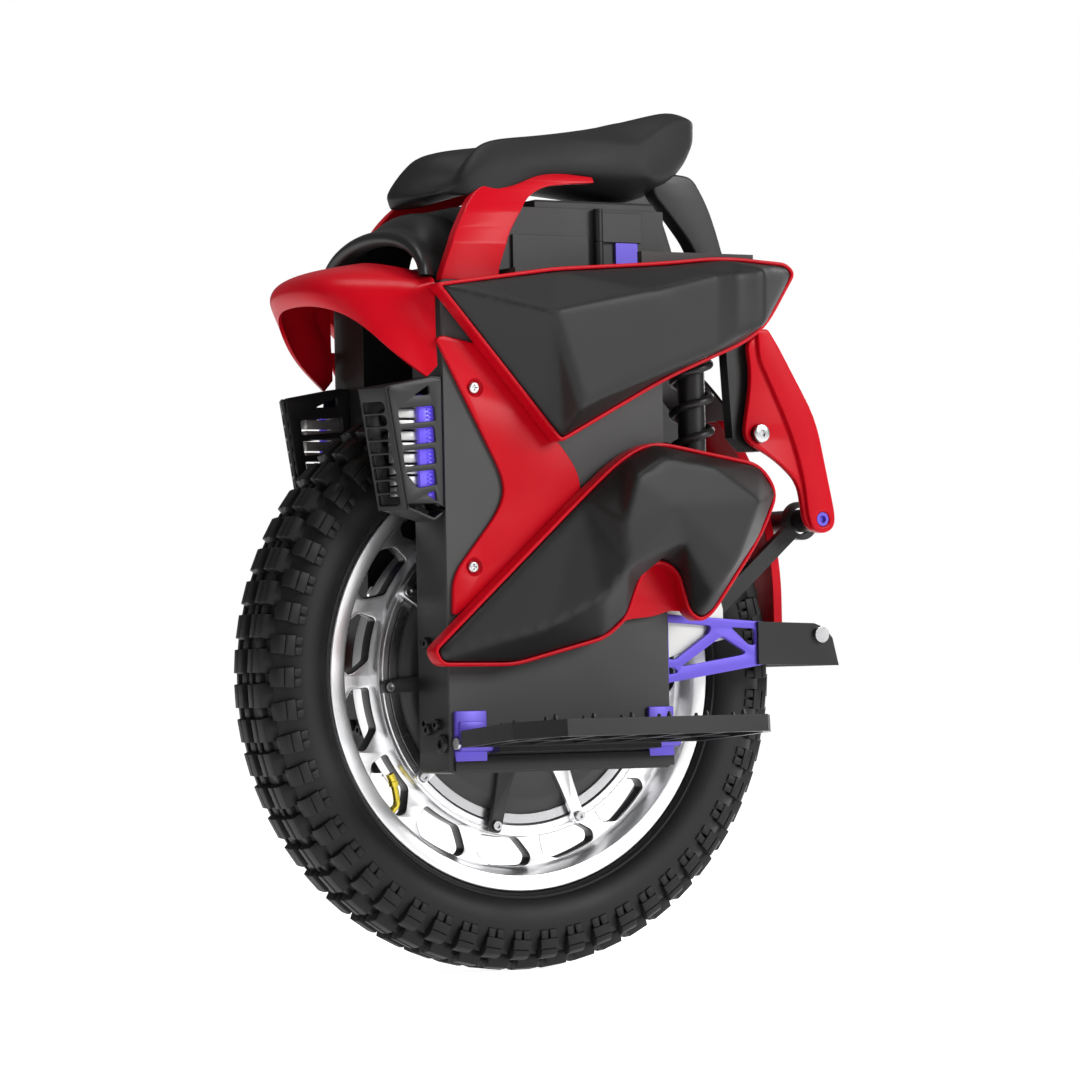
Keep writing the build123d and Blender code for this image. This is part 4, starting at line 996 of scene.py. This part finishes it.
def seat():
    rings = [[(x, -y, z) for x, y, z in ring[-2:0:-1]] for ring in SEAT_RINGS]
    rings = [ring + other for ring, other in zip(SEAT_RINGS, rings)]
    mesh = loft(rings)
    count = len(rings[0])
    with editing(mesh) as work:
        crease = work.edges.layers.float.new("crease_edge")
        for edge in work.edges:
            rows = sorted((v.index // count, v.index % count) for v in edge.verts)
            (ring_a, place_a), (ring_b, place_b) = [(row, min(at, count - at)) for row, at in rows]
            first, second = sorted((place_a, place_b))
            if place_a == place_b:
                edge[crease] = SEAT_FOLDS.get((ring_a, place_a), 0)
            elif ring_a == ring_b == CORNER_RING and first in (3, 4) and second < 6:
                edge[crease] = 0.7
    return subdivided(mesh, 3)


cushion = fit_piece("seat_pad", seat(), "frame", "seat_skin", ["seat_cushion", "seat_base"], smooth=None)


# %% [markdown]
# Behind each leg a coil spring stands round its damper. The springs shorten as the wheel rises.
# The two coils make one piece, which gets a mesh of its own.
# %% Make the coil springs
SPRING_X, SPRING_Y = -150, 66
SPRING_LOW, SPRING_HIGH = 345.4, 561.8
COILS = 8.5
WIRE = 3.6
COIL_RADIUS = 16.5


def coil(side):
    steps = int(COILS * 20)
    span = SPRING_HIGH - SPRING_LOW - 2 * WIRE
    points = []
    for k in range(steps + 1):
        t = k / steps
        eased = min(max((t - 0.07) / 0.86, 0), 1)
        turn = 2 * pi * COILS * t
        points.append((SPRING_X + COIL_RADIUS * cos(turn), side * (SPRING_Y + COIL_RADIUS * sin(turn)),
                       SPRING_LOW + WIRE + span * eased))
    return tube(points, WIRE)


springs = fit_piece("shock_coils", joined(coil(1), coil(-1)), "frame", "black_metal", ["coil_springs"])
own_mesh(springs)


# %% [markdown]
# The rear rocker has a red arm on each side. Its web is a thin plate, and a raised rail follows its back
# edge down to the cross tube.
# %% Make the rocker arms
ARM_WEB = [(-214, 546), (-225, 530), (-262, 468), (-280, 384), (-278, 373), (-267, 368), (-256, 372),
           (-250, 380), (-245, 413), (-222, 433), (-194, 447), (-190, 456), (-199, 504), (-195, 533)]
ARM_RAIL = ARM_WEB[:7] + [(-252, 384), (-248, 420), (-236, 458), (-205, 520), (-203, 544)]
PIVOT_SPOT = (-204, 455)
LOW_SPOT = (-267, 381)


def rocker_arm():
    web = plate([rounded(ARM_WEB, [4, 8, 20, 12, 8, 8, 8, 8, 12, 18, 8, 8, 25, 6]), circle(*PIVOT_SPOT, 7.1),
                 circle(*LOW_SPOT, 6.1)], 82, 88, 1.2)
    rail = plate([rounded(ARM_RAIL, [4, 8, 20, 12, 8, 8, 8, 12, 20, 25, 8, 3]), circle(*LOW_SPOT, 6.4)],
                 86, 92, 1.4)
    return joined(web, rail)


fit_piece("rocker_shells", both(rocker_arm()), "rocker", "red_paint", ["rocker_arms"])


# %% [markdown]
# Violet brackets reach back from the legs to the tail plate. They are sheet metal with round-cornered
# pockets, which leave two bars and a web between them.
# %% Make the tail brackets
TRUSS_EDGE = [(-103, 301), (-212, 293), (-212, 256), (-103, 240)]
TRUSS_POCKETS = [[(-107, 294), (-158, 290), (-156, 284), (-120, 261), (-107, 264)],
                 [(-178, 288.5), (-203, 287), (-203, 273), (-196, 273)],
                 [(-169, 281), (-193, 267), (-189, 264.5), (-127, 255.5)],
                 [(-107, 255), (-119, 255), (-124, 250.5), (-107, 247.5)]]


def truss():
    pockets = [rounded(pocket, 3, 4) for pocket in TRUSS_POCKETS]
    face = plate([rounded(TRUSS_EDGE, 2, 3)] + pockets, 73.5, 78, 0.6)
    foot = bevelled(block(-107, -103.2, 73.5, 90, 241, 300), 0.6)
    return joined(face, foot)


fit_piece("tail_brackets", both(truss()), "frame", "violet_anodised", ["tail_trusses"])


# %% [markdown]
# A vent pod stands on the front of each leg. It is a cage of thin walls: rounded slots in front, slanted
# bars at the side, and behind them a finned heat sink and a violet light strip with comb teeth.
# %% Make the vent pods
POD_OUT = [(112, 497), (121, 499), (163, 490), (146, 389), (121, 379), (112, 385)]
POD_TOP = (163, 94, 490)
POD_LOW = (146, 94, 389)
POD_TURN_IN = (12, -26, 0)
SLOT_COUNT = 8


def pod_window(index):
    """One opening between two slanted bars of the side wall."""
    def left(z):
        return 118 + (154 - 118) * min(1, (z - 388) / 24) - (476 - z) * 0.12

    low = 391 + index * 17.6
    high = low + 12.6
    corners = [(118.5, low + 1), (left(low - 3), low - 2), (left(high - 3), high - 2), (119.5, high + 1)]
    return rounded(corners, 2, 3)


def pod_walls():
    outline = rounded(POD_OUT, [1, 4, 5, 5, 4, 3], 4)
    openings = [pod_window(index) for index in range(5)] + [rounded([(124, 484), (138, 483), (124, 492)], 2, 3)]
    outer = plate([outline] + openings, 91, 94, 0.7)
    step = Vector(POD_TURN_IN)
    wide = [(x + 11 if x > 130 else x, z) for x, z in POD_OUT]
    wide_openings = [[(x + 6 if x > 130 else x, z) for x, z in opening] for opening in openings]
    inner = plate([rounded(wide, [1, 4, 5, 5, 4, 3], 4)] + wide_openings, 68, 71, 0.7)
    across = step.normalized()
    up = (Vector(POD_TOP) - Vector(POD_LOW)).normalized()
    out = across.cross(up).normalized()
    corner = Vector(POD_LOW) * MM
    turn = Matrix((across, up, out)).transposed().to_4x4()
    height = (Vector(POD_TOP) - Vector(POD_LOW)).length
    width = step.length
    gap = (height - 14) / SLOT_COUNT
    slots = []
    for index in range(SLOT_COUNT):
        low = 4 + index * gap
        high = low + gap - 2
        corners = [(4.5, low), (width - 2.2, low), (width - 2.2, high), (4.5, high)]
        slots.append(rounded(corners, [4.5, 2, 2, 4.5], 4))
    frame_edge = [(0, 0), (width, 0), (width, height), (0, height)]
    front = slab([frame_edge] + slots, 3, 0.7, Matrix.Translation(corner - out * 1.5 * MM) @ turn)
    roof = loft([[(112, y, 499), (121, y, 499.5), (163 + far, y, 490.4), (163 + far, y, 487.6), (121, y, 496.5),
                  (112, y, 496)] for y, far in ((93.5, 0), (68.5, 11))])
    base = loft([[(112, y, 384.6), (121, y, 378.8), (146 + far, y, 388.6), (146 + far, y, 391.6), (121, y, 382),
                  (112, y, 387.6)] for y, far in ((93.5, 0), (68.5, 11))])
    return joined(outer, inner, front, bevelled(joined(roof, base), 0.6))


def comb_strip():
    """The light strip, with short teeth along its outer face."""
    teeth = [block(118.5, 124, 88.6, 90.2, 400 + k * 3.4, 401.6 + k * 3.4) for k in range(24)]
    return bevelled(joined(block(111.2, 131, 84, 88.6, 396, 484), *teeth), 0.3)


def sink():
    fins = [block(111.2, 152 - abs(k - 4) * 0.2, 73, 84, 400 + k * 9.3, 407.6 + k * 9.3) for k in range(9)]
    return bevelled(joined(block(111.2, 128, 74, 83, 399, 483), *fins), 0.5)


fit_piece("pod_cages", both(pod_walls()), "frame", "black_plastic", ["vent_pods"])
fit_piece("pod_fins", both(sink()), "frame", "cast_alloy", ["pod_heat_sinks"])
fit_piece("pod_lights", both(comb_strip()), "frame", "light_lens", ["pod_light_strips"])


# %% [markdown]
# Each pedal hangs from a bar along the foot of its leg. The bar is dark, and only the lugs that carry the
# hinge are violet. The tread studs are short steel pins with a black coat.
# %% Make the pedal hangers and studs
HINGE = (104, 195)
LUGS = [(78, 108), (-105, -80)]


def hanger_lugs():
    pieces = []
    for x0, x1 in LUGS:
        pieces.append(bevelled(block(x0, x1, 95, 99, 180, 222), 1.2))
        pieces.append(bevelled(block(x0, x1, 95, HINGE[0], HINGE[1] - 7, HINGE[1] + 7), 0.8))
        pieces.append(tube([(x0, *HINGE), (x1, *HINGE)], 7, False))
        pieces.append(bevelled(block(x0 + 3, x1 - 3, 98.5, 101, 202, 213), 0.8))
    return joined(*pieces)


def stud_field():
    tilt = radians(4)
    pieces = []
    for row, reach in enumerate((24, 60, 96, 126)):
        for index in range(6):
            x = -100 + index * 36 + 9 * (row % 2)
            rings = []
            for r, up in ((2.2, 9.6), (2.0, 12.2), (1.1, 14.8)):
                y = HINGE[0] + reach * cos(tilt) - up * sin(tilt)
                z = HINGE[1] + reach * sin(tilt) + up * cos(tilt)
                rings.append([(x + r * cos(k * pi / 5), y + r * sin(k * pi / 5), z) for k in range(10)])
            pieces.append(loft(rings))
    return joined(*pieces)


fit_piece("pedal_lugs", both(hanger_lugs()), "frame", "violet_anodised", ["pedal_hangers"])
hanger_bar = bevelled(block(-105, 108, 95, 98.6, 172, 185), 1.0)
fit_piece("pedal_bars", both(hanger_bar), "frame", "black_metal")
near_studs = stud_field()
fit_piece("left_tread_studs", near_studs, "left_pedal_body", "steel", ["left_pedal_studs"],
          finish=FINISHES["black_metal"])
fit_piece("right_tread_studs", flipped(near_studs), "right_pedal_body", "steel", ["right_pedal_studs"],
          finish=FINISHES["black_metal"])


# %% [markdown]
# The screws have real heads: a dark ring of sockets on the legs' front walls, crossed screws in the red
# brackets, and bright hexagon sockets where the rear arms pivot.
# %% Make the screw heads
def screw_head(radius, height, recess, kind, spot, outward):
    """A domed head with a hexagon or cross recess; the head points along outward."""
    steps = 24
    profile = [(radius, 0), (radius, height * 0.55), (radius * 0.93, height * 0.85), (radius * 0.8, height)]
    rings = [[(r * cos(2 * pi * k / steps), r * sin(2 * pi * k / steps), up) for k in range(steps)]
             for r, up in profile]

    def mark(angle):
        if kind == "hexagon":
            return recess * cos(pi / 6) / cos((angle % (pi / 3)) - pi / 6)
        return recess * (1.0 if (angle + pi / 8) % (pi / 2) < pi / 4 else 0.34)

    for depth in (height, height * 0.35):
        rings.append([(mark(2 * pi * k / steps) * cos(2 * pi * k / steps),
                       mark(2 * pi * k / steps) * sin(2 * pi * k / steps), depth) for k in range(steps)])
    head = loft(rings)
    facing = Vector(outward).to_track_quat("Z", "Y").to_matrix().to_4x4()
    head.transform(Matrix.Translation(Vector(spot) * MM) @ facing)
    return head


def stem(spot, radius, back, outward):
    start = Vector(spot)
    return tube([tuple(start), tuple(start - Vector(outward) * back)], radius, False)


FRONT_SCREWS = [(60, 279, 5), (60, 207, 5), (75, 211, 5), (84, 195, 8)]
front = [screw_head(r, 4, r * 0.5, "hexagon", (111, y, z), (1, 0, 0)) for y, z, r in FRONT_SCREWS]
front += [stem((112, y, z), 2.4, 9, (1, 0, 0)) for y, z, _ in FRONT_SCREWS]
bracket_screws = [screw_head(4.8, 2.5, 2.6, "cross", (x, 96, z), (0, 1, 0)) for x, z in SCREWS]
bracket_screws += [stem((x, 97, z), 2.3, 10, (0, 1, 0)) for x, z in SCREWS]
pivots = [screw_head(8.0, 2.6, 3.4, "hexagon", (PIVOT_SPOT[0], 92.3, PIVOT_SPOT[1]), (0, 1, 0)),
          stem((PIVOT_SPOT[0], 93, PIVOT_SPOT[1]), 3, 12, (0, 1, 0))]
fit_piece("bright_screws", both(joined(*bracket_screws, *pivots)), "frame", "steel", ["frame_bolts"],
          smooth=radians(25))
fit_piece("front_screws", both(joined(*front)), "frame", "steel", smooth=radians(25),
          finish=FINISHES["black_metal"])


# %% [markdown]
# Two dark hooks carry the seat's tail on the rear deck. They are plates with a bend, broad at the top.
# %% Make the rear seat struts
STRUT_EDGE = [(-128, 676), (-128, 664), (-150, 640), (-168, 618), (-176, 592), (-203, 592), (-197, 617),
              (-184, 655), (-168, 680), (-150, 682)]
fit_piece("tail_struts", both(plate([rounded(STRUT_EDGE, [2, 8, 20, 20, 3, 3, 20, 20, 8, 4])], 30, 48, 2.0)),
          "frame", "black_plastic", ["rear_seat_struts"])
